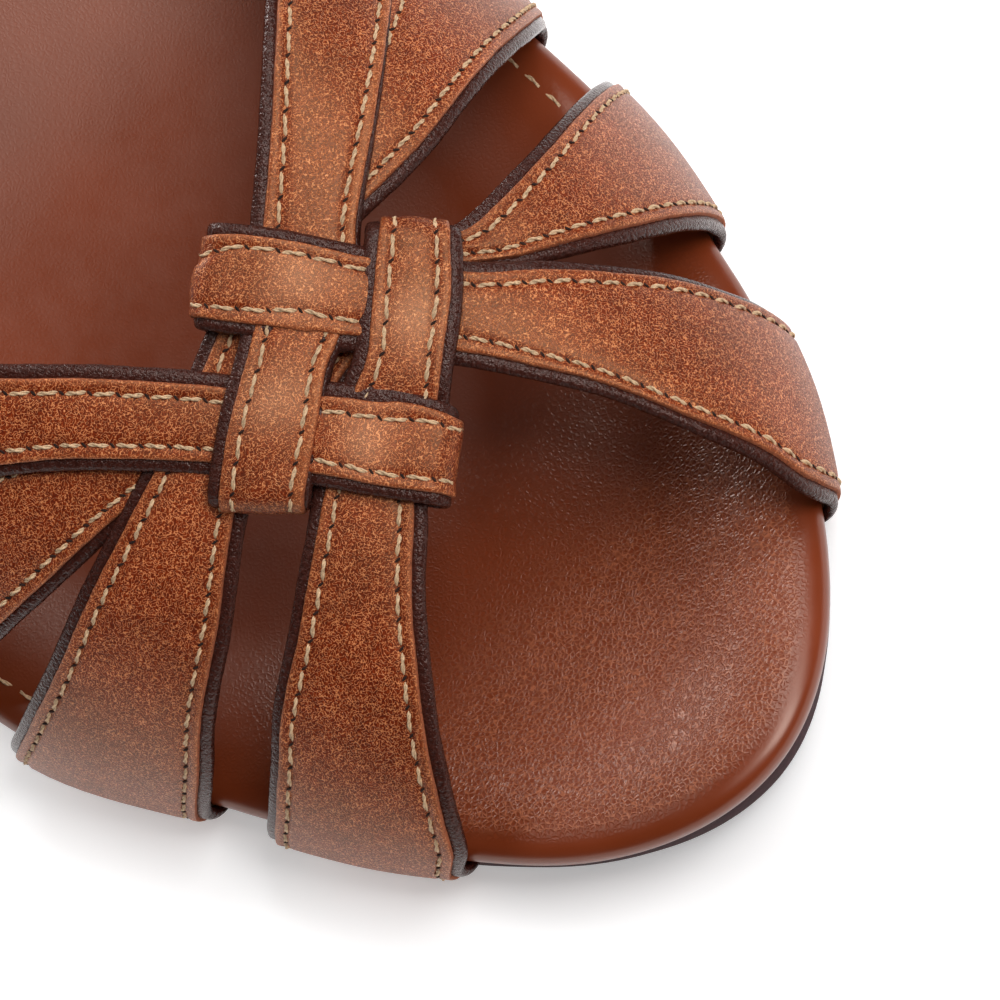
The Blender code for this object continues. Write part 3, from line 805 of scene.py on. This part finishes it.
def cap_faces(first, count):
    """Strips across the shoe that close a ring of points, one for each pair.

    A ring with an odd count, such as the heel's, keeps its middle triangle open: a hairline.
    """
    last = count - 1
    return [[first + i, first + i + 1, first + last - i - 1, first + last - i]
            for i in range(count // 2 - 1)]


def make_skin(name, rings, materials):
    """A body from a stack of rings, capped at both ends."""
    count = len(rings[0])
    faces = tube_faces(len(rings), count).tolist()
    faces += cap_faces(0, count) + cap_faces((len(rings) - 1) * count, count)
    return make_piece(name, place(np.concatenate(rings)), faces, materials)


# ---------------------------------------------------------------- materials
HIGHLIGHT_WASH = linear("b08868")     # pale tan of the painted highlight on the loops' domes, where stretching also draws the wax out
RUBBER = linear("2b1d1b")
# near-black painted shade inside the needle holes
HOLE_SHADE_DEEP, HOLE_SHADE_RIM = linear("150a06"), linear("331a10")
SKY = linear("fbfbff")


def add_node(tree, kind, settings=None, links=None):
    """Add a node, set its values and sockets, and link its inputs to other nodes' outputs."""
    node = tree.nodes.new(kind)
    for key, value in (settings or {}).items():
        if key == "ramp":
            ramp = node.color_ramp
            while len(ramp.elements) < len(value):
                ramp.elements.new(1.0)
            for element, (position, colour) in zip(ramp.elements, value):
                element.position = position
                element.color = (*colour, 1.0)
        elif isinstance(key, str) and hasattr(node, key):
            setattr(node, key, value)
        else:
            node.inputs[key].default_value = value
    for key, source in (links or {}).items():
        tree.links.new(source, node.inputs[key])
    return node


def new_material(name, **constants):
    """A Principled material and its object coordinates; constants are the shader's own sockets."""
    material = bpy.data.materials.new(name)
    material.use_nodes = True
    tree = material.node_tree
    shader = tree.nodes["Principled BSDF"]
    for key, value in constants.items():
        socket = shader.inputs[key.replace("_", " ")]
        socket.default_value = (*value, 1.0) if isinstance(value, tuple) else value
    where = add_node(tree, "ShaderNodeTexCoord").outputs["Object"]
    return material, tree, shader, where


def every(size):
    """Scale of a pattern whose marks lie this many millimetres apart."""
    return 1.0 / (size * MM)


def shade(colour, factor):
    """The colour made lighter or darker."""
    return tuple(min(1.0, channel * factor) for channel in colour)


def finish_surface(tree, shader, colour, rough=None, height=None, relief=(1.0, 0.1)):
    """Link colour, roughness and height; relief is a bump's strength and its depth in mm."""
    tree.links.new(colour, shader.inputs["Base Color"])
    if rough is not None:
        tree.links.new(rough, shader.inputs["Roughness"])
    if height is not None:
        strength, depth = relief
        bump = add_node(tree, "ShaderNodeBump", {"Strength": strength, "Distance": depth * MM},
                        {"Height": height}).outputs["Normal"]
        tree.links.new(bump, shader.inputs["Normal"])


def mottled(name, marks, ramp, relief=None, **constants):
    """A material whose colour, and relief if it has any, follow one noise.

    marks are how far apart they lie in millimetres, their detail and their brokenness.
    """
    material, tree, shader, where = new_material(name, **constants)
    size, detail, broken = marks
    noise = add_node(tree, "ShaderNodeTexNoise",
                     {"Scale": every(size), "Detail": detail, "Roughness": broken},
                     {"Vector": where}).outputs["Fac"]
    colour = add_node(tree, "ShaderNodeValToRGB", {"ramp": ramp}, {"Fac": noise}).outputs["Color"]
    finish_surface(tree, shader, colour, height=noise if relief else None, relief=relief)
    return material, tree, shader, noise


def burnished_leather(settings):
    """Pull-up calf, waxed and burnished by hand: pale crests of grain over dark dye, satin sheen."""
    light = tuple(settings.face_light)
    # wax worked into the dye warms the sheen
    material, tree, shader, where = new_material("burnished_pull_up_calf", IOR=1.6,
                                                 Specular_Tint=(1.0, 0.66, 0.38))
    # the grain's crests wander about 0.3 mm apart, each a hair wide; their pale colour is partly
    # rubbed grain and partly a painted glint of the lamps
    field = add_node(tree, "ShaderNodeTexNoise", {"Scale": every(0.29), "Detail": 0.0},
                     {"Vector": where}).outputs["Fac"]
    from_crest = add_node(tree, "ShaderNodeMath", {"operation": "SUBTRACT", 1: 0.5},
                          {0: field}).outputs["Value"]
    from_crest = add_node(tree, "ShaderNodeMath", {"operation": "ABSOLUTE"},
                          {0: from_crest}).outputs["Value"]
    crests = add_node(tree, "ShaderNodeMapRange",
                      {"From Min": 0.0, "From Max": 0.075, "To Min": 1.0, "To Max": 0.0},
                      {"Value": from_crest}).outputs["Result"]
    pores = add_node(tree, "ShaderNodeTexNoise",
                     {"Scale": every(0.26), "Detail": 2.0, "Roughness": 0.6},
                     {"Vector": where}).outputs["Fac"]
    grain = add_node(tree, "ShaderNodeMath", {"operation": "MULTIPLY_ADD", 1: 0.5},
                     {0: crests, 2: pores}).outputs["Value"]
    colour = add_node(tree, "ShaderNodeValToRGB",
                      {"ramp": ((0.42, settings.face_dark), (0.60, settings.face),
                                (0.92, light))},
                      {"Fac": grain}).outputs["Color"]
    # the dye pools in patches of about 2 mm and again of about 14 mm
    patches = add_node(tree, "ShaderNodeTexNoise",
                       {"Scale": every(2.2), "Detail": 2.0, "Roughness": 0.55},
                       {"Vector": where}).outputs["Fac"]
    cloud = add_node(tree, "ShaderNodeTexNoise",
                     {"Scale": every(14.0), "Detail": 2.0, "Roughness": 0.5},
                     {"Vector": where}).outputs["Fac"]
    pooled = add_node(tree, "ShaderNodeMath", {"operation": "ADD"},
                      {0: patches, 1: cloud}).outputs["Value"]
    tone = add_node(tree, "ShaderNodeMapRange",
                    {"From Min": 0.75, "From Max": 1.25, "To Min": 0.84, "To Max": 1.16},
                    {"Value": pooled}).outputs["Result"]
    # pull-up leather pales where a loop stretches it; this pale wash and lighter tone also paint the
    # highlight on each loop's dome
    stretch_highlight_fac = add_node(tree, "ShaderNodeAttribute", {"attribute_name": "stretched"}).outputs["Fac"]
    tone = add_node(tree, "ShaderNodeMath", {"operation": "MULTIPLY_ADD", 1: 0.6},
                    {0: stretch_highlight_fac, 2: tone}).outputs["Value"]
    highlight_wash = add_node(tree, "ShaderNodeMath", {"operation": "MULTIPLY", 1: 0.5},
                      {0: stretch_highlight_fac}).outputs["Value"]
    colour = add_node(tree, "ShaderNodeMix",
                      {"data_type": "RGBA", "blend_type": "MIX", 7: (*HIGHLIGHT_WASH, 1.0)},
                      {0: highlight_wash, 6: colour}).outputs[2]
    toned = add_node(tree, "ShaderNodeMix",
                     {"data_type": "RGBA", "blend_type": "MULTIPLY", 0: 1.0},
                     {6: colour, 7: tone}).outputs[2]
    # the wheel that marks the stitch row has rubbed the rim a little pale
    edge = add_node(tree, "ShaderNodeAttribute", {"attribute_name": "from_edge"}).outputs["Fac"]
    pressed = add_node(tree, "ShaderNodeMapRange",
                       {"From Min": 0.05, "From Max": 0.7, "To Min": 0.18, "To Max": 0.0},
                       {"Value": edge}).outputs["Result"]
    pale = add_node(tree, "ShaderNodeMix",
                    {"data_type": "RGBA", "blend_type": "MIX", 7: (*light, 1.0)},
                    {0: pressed, 6: toned}).outputs[2]
    # burnishing polishes the crests and leaves the pits half matt
    rough = add_node(tree, "ShaderNodeMapRange",
                     {"From Min": 0.5, "From Max": 0.9, "To Min": 0.44, "To Max": 0.28},
                     {"Value": grain}).outputs["Result"]
    finish_surface(tree, shader, pale, rough, grain, (0.8, 0.05))
    return material


def edge_paint(paint):
    """Acrylic edge paint, brushed on and heat-set: a dark satin bead, faintly rippled."""
    material, tree, shader, ripples = mottled(
        "acrylic_edge_paint", (0.38, 2.0, 0.6),
        ((0.35, shade(paint, 0.75)), (0.65, shade(paint, 1.3))), (1.0, 0.2), IOR=1.34,
        Specular_Tint=(1.0, 0.84, 0.78))
    rough = add_node(tree, "ShaderNodeMapRange",
                     {"From Min": 0.3, "From Max": 0.7, "To Min": 0.10, "To Max": 0.18},
                     {"Value": ripples}).outputs["Result"]
    tree.links.new(rough, shader.inputs["Roughness"])
    return material


def cut_edge(raw):
    """The leather face's cut edge, left undyed: matt orange fibres."""
    return mottled("cut_leather_fibres", (0.3, 3.0, 0.7),
                   ((0.35, shade(raw, 0.55)), (0.65, shade(raw, 1.25))), (0.8, 0.1),
                   Roughness=0.85, IOR=1.45)[0]


def calf_lining(lining):
    """Undyed calf lining, glazed: pale and smooth with faint pores."""
    material, tree, shader, where = new_material("glazed_calf_lining", Roughness=0.5, IOR=1.47)
    pores = add_node(tree, "ShaderNodeTexVoronoi", {"Scale": every(0.7)},
                     {"Vector": where}).outputs["Distance"]
    colour = add_node(tree, "ShaderNodeValToRGB",
                      {"ramp": ((0.05, shade(lining, 0.82)), (0.3, lining))},
                      {"Fac": pores}).outputs["Color"]
    finish_surface(tree, shader, colour, None, pores, (0.25, 0.05))
    return material


def waxed_thread(thread):
    """Twisted polyester thread, waxed: dull beige with darker flecks between the plies."""
    return mottled("waxed_polyester_thread", (0.35, 3.0, 0.65),
                   ((0.3, shade(thread, 0.5)), (0.52, thread), (0.7, shade(thread, 1.2))),
                   (0.5, 0.05), Roughness=0.62, IOR=1.5)[0]


def hole_dark():
    """The inside of a needle hole: almost black, painted shade of its depth."""
    return mottled("needle_burnt_leather", (0.3, 2.0, 0.5), ((0.35, HOLE_SHADE_DEEP), (0.65, HOLE_SHADE_RIM)),
                   Roughness=0.9, IOR=1.4)[0]


def grained_leather(name, leather, crest, cell, grain_tag=None):
    """Semi-aniline calf: even red-brown under a waxed satin finish, with a fine pebble grain.

    cell is the width of a pebble in millimetres; grain_tag names the share of grain, if it varies.
    """
    # wax over the dye warms the sheen
    material, tree, shader, where = new_material(name, IOR=1.56, Specular_Tint=(1.0, 0.84, 0.74))
    # pebbles parted by wavering creases
    waver = add_node(tree, "ShaderNodeTexNoise", {"Scale": every(0.6), "Detail": 1.0},
                     {"Vector": where}).outputs["Color"]
    wavered = add_node(tree, "ShaderNodeVectorMath",
                       {"operation": "MULTIPLY_ADD", 1: (0.3 * MM, 0.3 * MM, 0.3 * MM)},
                       {0: waver, 2: where}).outputs["Vector"]
    from_crease = add_node(tree, "ShaderNodeTexVoronoi",
                           {"feature": "DISTANCE_TO_EDGE", "Scale": every(cell)},
                           {"Vector": wavered}).outputs["Distance"]
    creases = add_node(tree, "ShaderNodeMapRange",
                       {"interpolation_type": "SMOOTHSTEP", "From Min": 0.0, "From Max": 0.32,
                        "To Min": 1.0, "To Max": 0.0}, {"Value": from_crease}).outputs["Result"]
    if grain_tag:
        amount = add_node(tree, "ShaderNodeAttribute", {"attribute_name": grain_tag}).outputs["Fac"]
        creases = add_node(tree, "ShaderNodeMath", {"operation": "MULTIPLY"},
                           {0: creases, 1: amount}).outputs["Value"]
    # the dye is cloudy over about 20 mm; the darkening along the foot of each pebble is painted
    # shade of the creases
    cloud = add_node(tree, "ShaderNodeTexNoise", {"Scale": every(20.0), "Detail": 2.0},
                     {"Vector": where}).outputs["Fac"]
    colour = add_node(tree, "ShaderNodeValToRGB",
                      {"ramp": ((0.3, shade(leather, 0.88)), (0.7, shade(leather, 1.12)))},
                      {"Fac": cloud}).outputs["Color"]
    crease_shade = add_node(tree, "ShaderNodeMapRange", {"To Min": 1.0, "To Max": 0.72},
                        {"Value": creases}).outputs["Result"]
    colour = add_node(tree, "ShaderNodeMix",
                      {"data_type": "RGBA", "blend_type": "MULTIPLY", 0: 1.0},
                      {6: colour, 7: crease_shade}).outputs[2]
    # the middle of a crease is painted pale as a highlight of the grain's lit ridges, here more and
    # there less
    narrow = add_node(tree, "ShaderNodeMath", {"operation": "POWER", 1: 4.0},
                      {0: creases}).outputs["Value"]
    crease_highlight_amount = add_node(tree, "ShaderNodeTexNoise", {"Scale": every(0.4), "Detail": 0.0},
                    {"Vector": where}).outputs["Fac"]
    crease_highlight_amount = add_node(tree, "ShaderNodeMapRange",
                    {"From Min": 0.35, "From Max": 0.65, "To Min": 0.22, "To Max": 0.55},
                    {"Value": crease_highlight_amount}).outputs["Result"]
    crease_highlight = add_node(tree, "ShaderNodeMath", {"operation": "MULTIPLY"},
                      {0: narrow, 1: crease_highlight_amount}).outputs["Value"]
    toned = add_node(tree, "ShaderNodeMix",
                     {"data_type": "RGBA", "blend_type": "MIX", 7: (*crest, 1.0)},
                     {0: crease_highlight, 6: colour}).outputs[2]
    # the finish lies a little unevenly, over about 2.5 mm
    fine = add_node(tree, "ShaderNodeTexNoise",
                    {"Scale": every(2.5), "Detail": 4.0, "Roughness": 0.55},
                    {"Vector": where}).outputs["Fac"]
    rough = add_node(tree, "ShaderNodeMapRange",
                     {"From Min": 0.3, "From Max": 0.7, "To Min": 0.28, "To Max": 0.34},
                     {"Value": fine}).outputs["Result"]
    height = add_node(tree, "ShaderNodeMath", {"operation": "MULTIPLY_ADD", 1: 0.2},
                      {0: fine, 2: creases}).outputs["Value"]
    finish_surface(tree, shader, toned, rough, height, (1.0, 0.04))
    return material


def sealed_sole(name, colour, rough):
    """Sole leather or moulded rubber, dyed through and sealed: dark, half matt, finely pitted."""
    return mottled(name, (0.6, 3.0, 0.6), ((0.35, shade(colour, 0.75)), (0.65, shade(colour, 1.25))),
                   (0.5, 0.1), Roughness=rough, IOR=1.3)[0]


def light_table(colour, glow):
    """Matt white acrylic sheet, faintly lit from below, which softens the shadows on it."""
    # its tone is cloudy, with about six marks a metre
    return mottled("matt_acrylic_sheet", (1000.0 / 6.0, 2.0, 0.5),
                   ((0.3, shade(colour, 0.985)), (0.7, colour)), Roughness=0.9, IOR=1.3,
                   Emission_Color=tuple(colour), Emission_Strength=glow)[0]


# ---------------------------------------------------------------- straps and stitching
def all_ribbons(settings):
    """Every strap's name, ribbon and phase of unevenness."""
    thick, skived = settings.thickness / MM, settings.skived / MM
    ribbons = []
    for table, folded in ((UNDER_STRAPS, False), (MAIN_STRAPS, True)):
        for name, rows in table.items():
            ribbons.append((name, make_ribbon(rows, thick, skived, folded),
                            1.0 + 0.9 * len(ribbons)))
    return ribbons


class SLIDE_OT_straps(bpy.types.Operator):
    """Make the eight lined straps, woven into a knot"""

    bl_idname = "slide.straps"
    bl_label = "Straps"

    def execute(self, context):
        settings = context.scene.slide_straps
        materials = [burnished_leather(settings), edge_paint(settings.paint),
                     cut_edge(settings.raw), calf_lining(settings.lining)]
        for name, ribbon, phase in all_ribbons(settings):
            strap = make_strap(name, ribbon, phase, settings, materials)
            finish_piece(strap, "strap_leather", "upper")
        return {"FINISHED"}


class SLIDE_OT_stitching(bpy.types.Operator):
    """Sew both edges of every strap"""

    bl_idname = "slide.stitching"
    bl_label = "Strap stitching"

    def execute(self, context):
        settings = context.scene.slide_straps
        fold_radius = settings.fold_radius / MM
        pitch, thread = settings.pitch / MM, settings.thread / MM
        inset = settings.row_inset / MM
        stitches, holes = [], []
        for name, ribbon, phase in all_ribbons(settings):
            for rear in (False, True):
                side = inset - face_shift(name, rear, inset)
                row = row_line(ribbon, side, THREAD_LEVEL, fold_radius, rear)
                spots = stitch_spots(name, ribbon, row[2], pitch)
                slant = -STITCH_SLANT if rear else STITCH_SLANT
                for i, (spot, after) in enumerate(zip(spots[:-1], spots[1:])):
                    # hand-guided sewing: no two stitches lie quite alike
                    uneven = sway(spot * 1.7, phase + i)
                    stitches.append(lay_stitches(
                        *row, [spot + HOLE_GAP / 2], after - spot - HOLE_GAP,
                        thread * (1.0 + 0.08 * uneven), slant * (1.0 + 0.5 * uneven),
                        STITCH_DIP))
                if ribbon.bend[-1] > 0.0:
                    # the thread ends in a frayed tuft where the strap folds
                    for fibre in TUFT_SLANTS:
                        stitches.append(lay_stitches(*row, [spots[-1] - 0.5], 1.0,
                                                     thread * 0.3, fibre, -0.06))
                holes.append(needle_holes(*row, spots))
        sewn = make_piece("strap_stitching", *merge(stitches),
                          [waxed_thread(settings.thread_colour)])
        finish_piece(sewn, "strap_leather")
        pits = make_piece("needle_holes", *merge(holes), [hole_dark()])
        finish_piece(pits, "strap_leather")
        return {"FINISHED"}


# ---------------------------------------------------------------- footbed
def footbed_rings(settings):
    """Rings from the slot out, round the rolled edge and into the dish, with their grain."""
    roll_width, roll_height = settings.roll_width / MM, settings.roll_height / MM
    slot = OUTSOLE_THICK + CLEARANCE
    rings = [outline_ring(TUCK_DEPTH + COVER_TURN_IN, slot), outline_ring(TUCK_DEPTH, slot),
             outline_ring(TUCK_DEPTH, OUTSOLE_THICK + TUCK_SLOT)]
    grain = [0.0] * len(rings)
    for turn in np.radians(np.linspace(-90.0, 0.0, 10)):
        rings.append(outline_ring(LIP_RADIUS * (1.0 - math.cos(turn)),
                                  EDGE_Z + LIP_RADIUS * math.sin(turn)))
        grain.append(0.0)
    for turn in np.radians(np.linspace(0.0, 90.0, 15))[1:]:
        rings.append(outline_ring(roll_width * (1.0 - math.cos(turn)),
                                  EDGE_Z + roll_height * math.sin(turn)))
        grain.append(float(share_along(turn, 0.7, 0.3)))
    deepest = (settings.dish + settings.toe_dish * share_along(EDGE_LINE[:, 1], *TOE_DISH)) / MM
    for step in np.linspace(0.0, 1.0, 15)[1:]:
        fall = step * step * (3.0 - 2.0 * step)
        rings.append(outline_ring(roll_width + DISH_FLANK * step,
                                  EDGE_Z + roll_height - deepest * fall))
        grain.append(1.0)
    return rings, grain


def fill_with_grid(rings, columns):
    """Points and faces of a stack of rings, capped below and filled above with a grid."""
    count = len(rings[0])
    pairs = count // 2
    points = np.concatenate(rings)
    inner = rings[-1]
    share = np.linspace(0.0, 1.0, columns + 1)[1:-1]
    left, right = inner[:pairs, None], inner[::-1][:pairs, None]
    rows = left + (right - left) * share[None, :, None]
    # numbers of the grid's points: both sides of the top ring with the new points between
    top = len(points) - count + np.arange(count)
    middle = len(points) + np.arange(pairs * (columns - 1)).reshape(pairs, -1)
    grid = np.concatenate((top[:pairs, None], middle, top[::-1][:pairs, None]), axis=1)
    quads = np.stack((grid[:-1, :-1], grid[1:, :-1], grid[1:, 1:], grid[:-1, 1:]), axis=-1)
    faces = tube_faces(len(rings), count).tolist() + cap_faces(0, count)
    faces += quads.reshape(-1, 4).tolist()
    # a face without area closes each end of the innermost ring
    faces += [grid[0].tolist(), grid[-1].tolist()]
    return np.concatenate((points, rows.reshape(-1, 3))), faces


def footbed_row(settings):
    """Points, outward directions and distances along the stitch row behind the front straps."""
    roll_width, roll_height = settings.roll_width / MM, settings.roll_height / MM
    rise = roll_height * math.sin(math.acos(1.0 - FOOTBED_ROW_INSET / roll_width))
    line = outline_ring(FOOTBED_ROW_INSET, EDGE_Z + rise - FOOTBED_ROW_SINK)
    sewn = line[:, 1] < FOOTBED_ROW_TO
    start = np.flatnonzero(~sewn)[-1] + 1
    line = np.roll(line, -start, axis=0)[:int(sewn.sum())]
    inward = np.roll(EDGE_INWARD, -start, axis=0)[:len(line)]
    outward = unit(np.column_stack((-inward, np.full(len(line), ROLL_STEEPNESS))))
    return line, outward, distances(line)


class SLIDE_OT_footbed(bpy.types.Operator):
    """Make the padded footbed with its rolled edge and its edge stitching"""

    bl_idname = "slide.footbed"
    bl_label = "Footbed"

    def execute(self, context):
        settings = context.scene.slide_footbed
        rings, grain = footbed_rings(settings)
        points, faces = fill_with_grid(rings, 14)
        tag = np.ones(len(points))
        tag[:len(rings) * len(rings[0])] = np.repeat(grain, len(rings[0]))
        # the grain, with its painted light and shade, fades out behind the ball of the foot, where
        # the straps cast their shadow
        tag *= GRAIN_IN_SHADOW + (1.0 - GRAIN_IN_SHADOW) * share_along(points[:, 1], *GRAIN_RETURNS)
        leather = grained_leather("semi_aniline_calf", settings.leather, settings.crest,
                                  settings.grain / MM, "grain")
        footbed = make_piece("footbed_cover", place(points), faces, [leather], None,
                             {"grain": tag})
        finish_piece(footbed, "footbed_leather", "footbed")

        row = footbed_row(settings)
        spots = np.arange(2.0, row[2][-1] - FOOTBED_PITCH, FOOTBED_PITCH)
        parts = lay_stitches(*row, spots, FOOTBED_PITCH - FOOTBED_GAP, FOOTBED_THREAD, 0.0, 0.3)
        thread = waxed_thread(context.scene.slide_straps.thread_colour)
        edging = make_piece("footbed_stitching", *parts, [thread])
        finish_piece(edging, "footbed_leather")
        return {"FINISHED"}


# ---------------------------------------------------------------- outsole and heel
class SLIDE_OT_outsole(bpy.types.Operator):
    """Make the thin outsole that follows the arch"""

    bl_idname = "slide.outsole"
    bl_label = "Outsole"

    def execute(self, context):
        # the sole draws in a little further under the toe's tip
        inset = OUTSOLE_INSET + OUTSOLE_TOE_INSET * share_along(EDGE_LINE[:, 1:], *OUTSOLE_TIP)
        inner = inset + OUTSOLE_BEVEL + TUCK_DEPTH
        rings = [outline_ring(inner, 0.0)]
        for middle, turns in ((OUTSOLE_BEVEL, (-90.0, 0.0)),
                              (OUTSOLE_THICK - OUTSOLE_BEVEL, (0.0, 90.0))):
            for turn in np.radians(np.linspace(*turns, 5)):
                rings.append(outline_ring(inset + OUTSOLE_BEVEL * (1.0 - math.cos(turn)),
                                          middle + OUTSOLE_BEVEL * math.sin(turn)))
        rings.append(outline_ring(inner, OUTSOLE_THICK))
        colour = context.scene.slide_sole.sole_colour
        outsole = make_skin("outsole_plate", rings, [sealed_sole("dyed_sole_leather", colour, 0.62)])
        finish_piece(outsole, "outsole", "outsole")
        return {"FINISHED"}


def heel_ring(share, shrink=0.0):
    """Outline of the heel block at a share of the way from the sole to the ground."""
    # the block tapers a little faster near the sole
    drop = share ** HEEL_TAPER
    turns = np.radians(np.concatenate((np.linspace(3.0, 30.0, 12), np.linspace(34.0, 90.0, 15))))
    ahead = 1.0 - np.cos(turns)
    stations = HEEL_BACK[0] + (HEEL_FRONT[0] - HEEL_BACK[0]) * ahead
    back = HEEL_BACK[0] + (HEEL_BACK[1] - HEEL_BACK[0]) * drop + shrink
    front = HEEL_FRONT[0] + (HEEL_FRONT[1] - HEEL_FRONT[0]) * drop - shrink
    width = HEEL_WIDTH[0] + (HEEL_WIDTH[1] - HEEL_WIDTH[0]) * drop
    z = (sole_height(stations) - CLEARANCE) * (1.0 - share)
    sides = []
    for side in (1.0, -1.0):
        x = side * ((half_width(stations - HEEL_INSET * 0.4, side) - HEEL_INSET) * width - shrink)
        sides.append(np.stack((x, back + (front - back) * ahead, z), 1))
    # the back of the block rounds from side to side
    across = np.linspace(0.0, 1.0, 11)[1:-1, None]
    rounded = sides[1][0] + (sides[0][0] - sides[1][0]) * across
    rounded[:, 1] -= HEEL_BACK_BULGE * 4.0 * (across * (1.0 - across))[:, 0]
    return np.concatenate((sides[0], sides[1][::-1], rounded))


def round_edges(piece, radius):
    """Bevel the sharp edges and keep the result as the piece's mesh.

    The bevel stops before it would overlap itself: on the heel's pieces at 0.02 mm or less.
    """
    bevel = piece.modifiers.new("round_edges", "BEVEL")
    bevel.width = radius
    bevel.segments = 4
    bevel.limit_method = "ANGLE"
    bevel.angle_limit = math.radians(40.0)
    graph = bpy.context.evaluated_depsgraph_get()
    mesh = bpy.data.meshes.new_from_object(piece.evaluated_get(graph))
    piece.modifiers.clear()
    piece.data = mesh
    shade_round(mesh)


class SLIDE_OT_heel(bpy.types.Operator):
    """Make the covered block heel and its top piece"""

    bl_idname = "slide.heel"
    bl_label = "Heel"

    def execute(self, context):
        settings = context.scene.slide_sole
        split = 1.0 - settings.top_piece / MM / float(sole_height(HEEL_MIDDLE))
        # the heel's pale crease colour is a painted highlight, as on the footbed
        calf = grained_leather("heel_covering_calf", settings.heel_colour,
                               shade(settings.heel_colour, 1.5), 0.6)
        rings = [heel_ring(share) for share in np.linspace(0.0, split, 14)]
        cover = make_skin("heel_cover", rings, [calf])
        round_edges(cover, settings.cover_edge)
        finish_piece(cover, "heel_cover", "heel")
        rings = [heel_ring(share, TOP_PIECE_SHRINK) for share in np.linspace(split, 1.0, 4)]
        tip = make_skin("heel_top_piece", rings, [sealed_sole("moulded_rubber", RUBBER, 0.6)])
        round_edges(tip, settings.top_piece_edge)
        finish_piece(tip, "heel_cover", "heel")
        return {"FINISHED"}


# ---------------------------------------------------------------- stage
def lay_floor(settings):
    """The light table that the shoe stands on."""
    size = FLOOR_HALF
    mesh = bpy.data.meshes.new("floor")
    mesh.from_pydata([(-size, -size, 0), (size, -size, 0), (size, size, 0), (-size, size, 0)],
                     [], [(0, 1, 2, 3)])
    mesh.materials.append(light_table(settings.floor, settings.table))
    add_object("floor", mesh)


def dim_world():
    """A sky that adds hardly anything to the lamps."""
    world = bpy.data.worlds.new("studio")
    world.use_nodes = True
    background = world.node_tree.nodes["Background"]
    background.inputs["Color"].default_value = (*SKY, 1.0)
    background.inputs["Strength"].default_value = 0.01
    bpy.context.scene.world = world


def hang_lamp(name, turn, rise, side, power):
    """A square softbox turned to the front of the shoe."""
    lamp = bpy.data.lights.new(name + "_softbox", "AREA")
    lamp.shape = "RECTANGLE"
    lamp.size, lamp.size_y = side, side
    lamp.energy = power
    holder = add_object(lamp.name, lamp)
    turn, rise = math.radians(turn), math.radians(rise)
    aim = Vector(LAMP_AIM)
    level = LAMP_DISTANCE * math.cos(rise)
    holder.location = (aim.x + level * math.cos(turn), aim.y + level * math.sin(turn),
                       LAMP_DISTANCE * math.sin(rise))
    holder.rotation_euler = (aim - holder.location).to_track_quat("-Z", "Y").to_euler()


def set_camera():
    """The camera above the toe, rolled so that the toe points to the view's lower right."""
    azimuth, elevation, roll = (math.radians(v) for v in CAMERA_ANGLES)
    target = Vector(place([CAMERA_AIM])[0])
    back = Vector((math.sin(azimuth) * math.cos(elevation),
                   -math.cos(azimuth) * math.cos(elevation), math.sin(elevation)))
    level = Vector((0.0, 0.0, 1.0)).cross(back).normalized()
    upright = back.cross(level)
    right = level * math.cos(roll) + upright * math.sin(roll)
    up = upright * math.cos(roll) - level * math.sin(roll)
    lens = bpy.data.cameras.new("camera")
    lens.lens = FOCAL_LENGTH
    lens.sensor_width = 36.0
    camera = add_object("camera", lens)
    turned = Matrix((right, up, back)).transposed().to_4x4()
    camera.matrix_world = Matrix.Translation(target + back * CAMERA_DISTANCE) @ turned
    bpy.context.scene.camera = camera


class SLIDE_OT_stage(bpy.types.Operator):
    """Lay the pale floor, set the softboxes and the camera"""

    bl_idname = "slide.stage"
    bl_label = "Stage"

    def execute(self, context):
        settings = context.scene.slide_stage
        lay_floor(settings)
        dim_world()
        for name, turn, rise, side in SOFTBOXES:
            hang_lamp(name, turn, rise, side, getattr(settings, name))
        set_camera()
        context.scene.view_settings.view_transform = "Standard"
        context.scene.view_settings.look = "None"
        return {"FINISHED"}


# ---------------------------------------------------------------- add-on
class SLIDE_PT_panel(bpy.types.Panel):
    """Buttons for each group of pieces"""

    bl_idname = "SLIDE_PT_panel"
    bl_label = "Peep-toe slide"
    bl_space_type = "VIEW_3D"
    bl_region_type = "UI"
    bl_category = "Slide"

    def draw(self, context):
        for operator in OPERATORS:
            self.layout.operator(operator.bl_idname)
        for name in SETTINGS:
            box = self.layout.box()
            group = getattr(context.scene, name)
            for key in group.__annotations__:
                box.prop(group, key)


SETTINGS = {
    "slide_straps": SlideStrapSettings,
    "slide_footbed": SlideFootbedSettings,
    "slide_sole": SlideSoleSettings,
    "slide_stage": SlideStageSettings,
}
OPERATORS = (SLIDE_OT_straps, SLIDE_OT_stitching, SLIDE_OT_footbed, SLIDE_OT_outsole,
             SLIDE_OT_heel, SLIDE_OT_stage)


def register():
    """Register the settings, the operators and the panel."""
    for name, group in SETTINGS.items():
        bpy.utils.register_class(group)
        setattr(bpy.types.Scene, name, PointerProperty(type=group))
    for operator in OPERATORS:
        bpy.utils.register_class(operator)
    bpy.utils.register_class(SLIDE_PT_panel)


def unregister():
    """Take everything out again, last first."""
    bpy.utils.unregister_class(SLIDE_PT_panel)
    for operator in reversed(OPERATORS):
        bpy.utils.unregister_class(operator)
    for name, group in reversed(SETTINGS.items()):
        delattr(bpy.types.Scene, name)
        bpy.utils.unregister_class(group)


def clear_scene():
    """Remove the file's own cube, lamp and camera; the frame's objects stay."""
    for name in ("Cube", "Light", "Camera"):
        item = bpy.data.objects.get(name)
        if item is not None:
            bpy.data.objects.remove(item, do_unlink=True)


def main():
    """Build every piece."""
    clear_scene()
    register()
    for operator in OPERATORS:
        group, _, name = operator.bl_idname.partition(".")
        getattr(getattr(bpy.ops, group), name)()


if __name__ == "__main__":
    main()
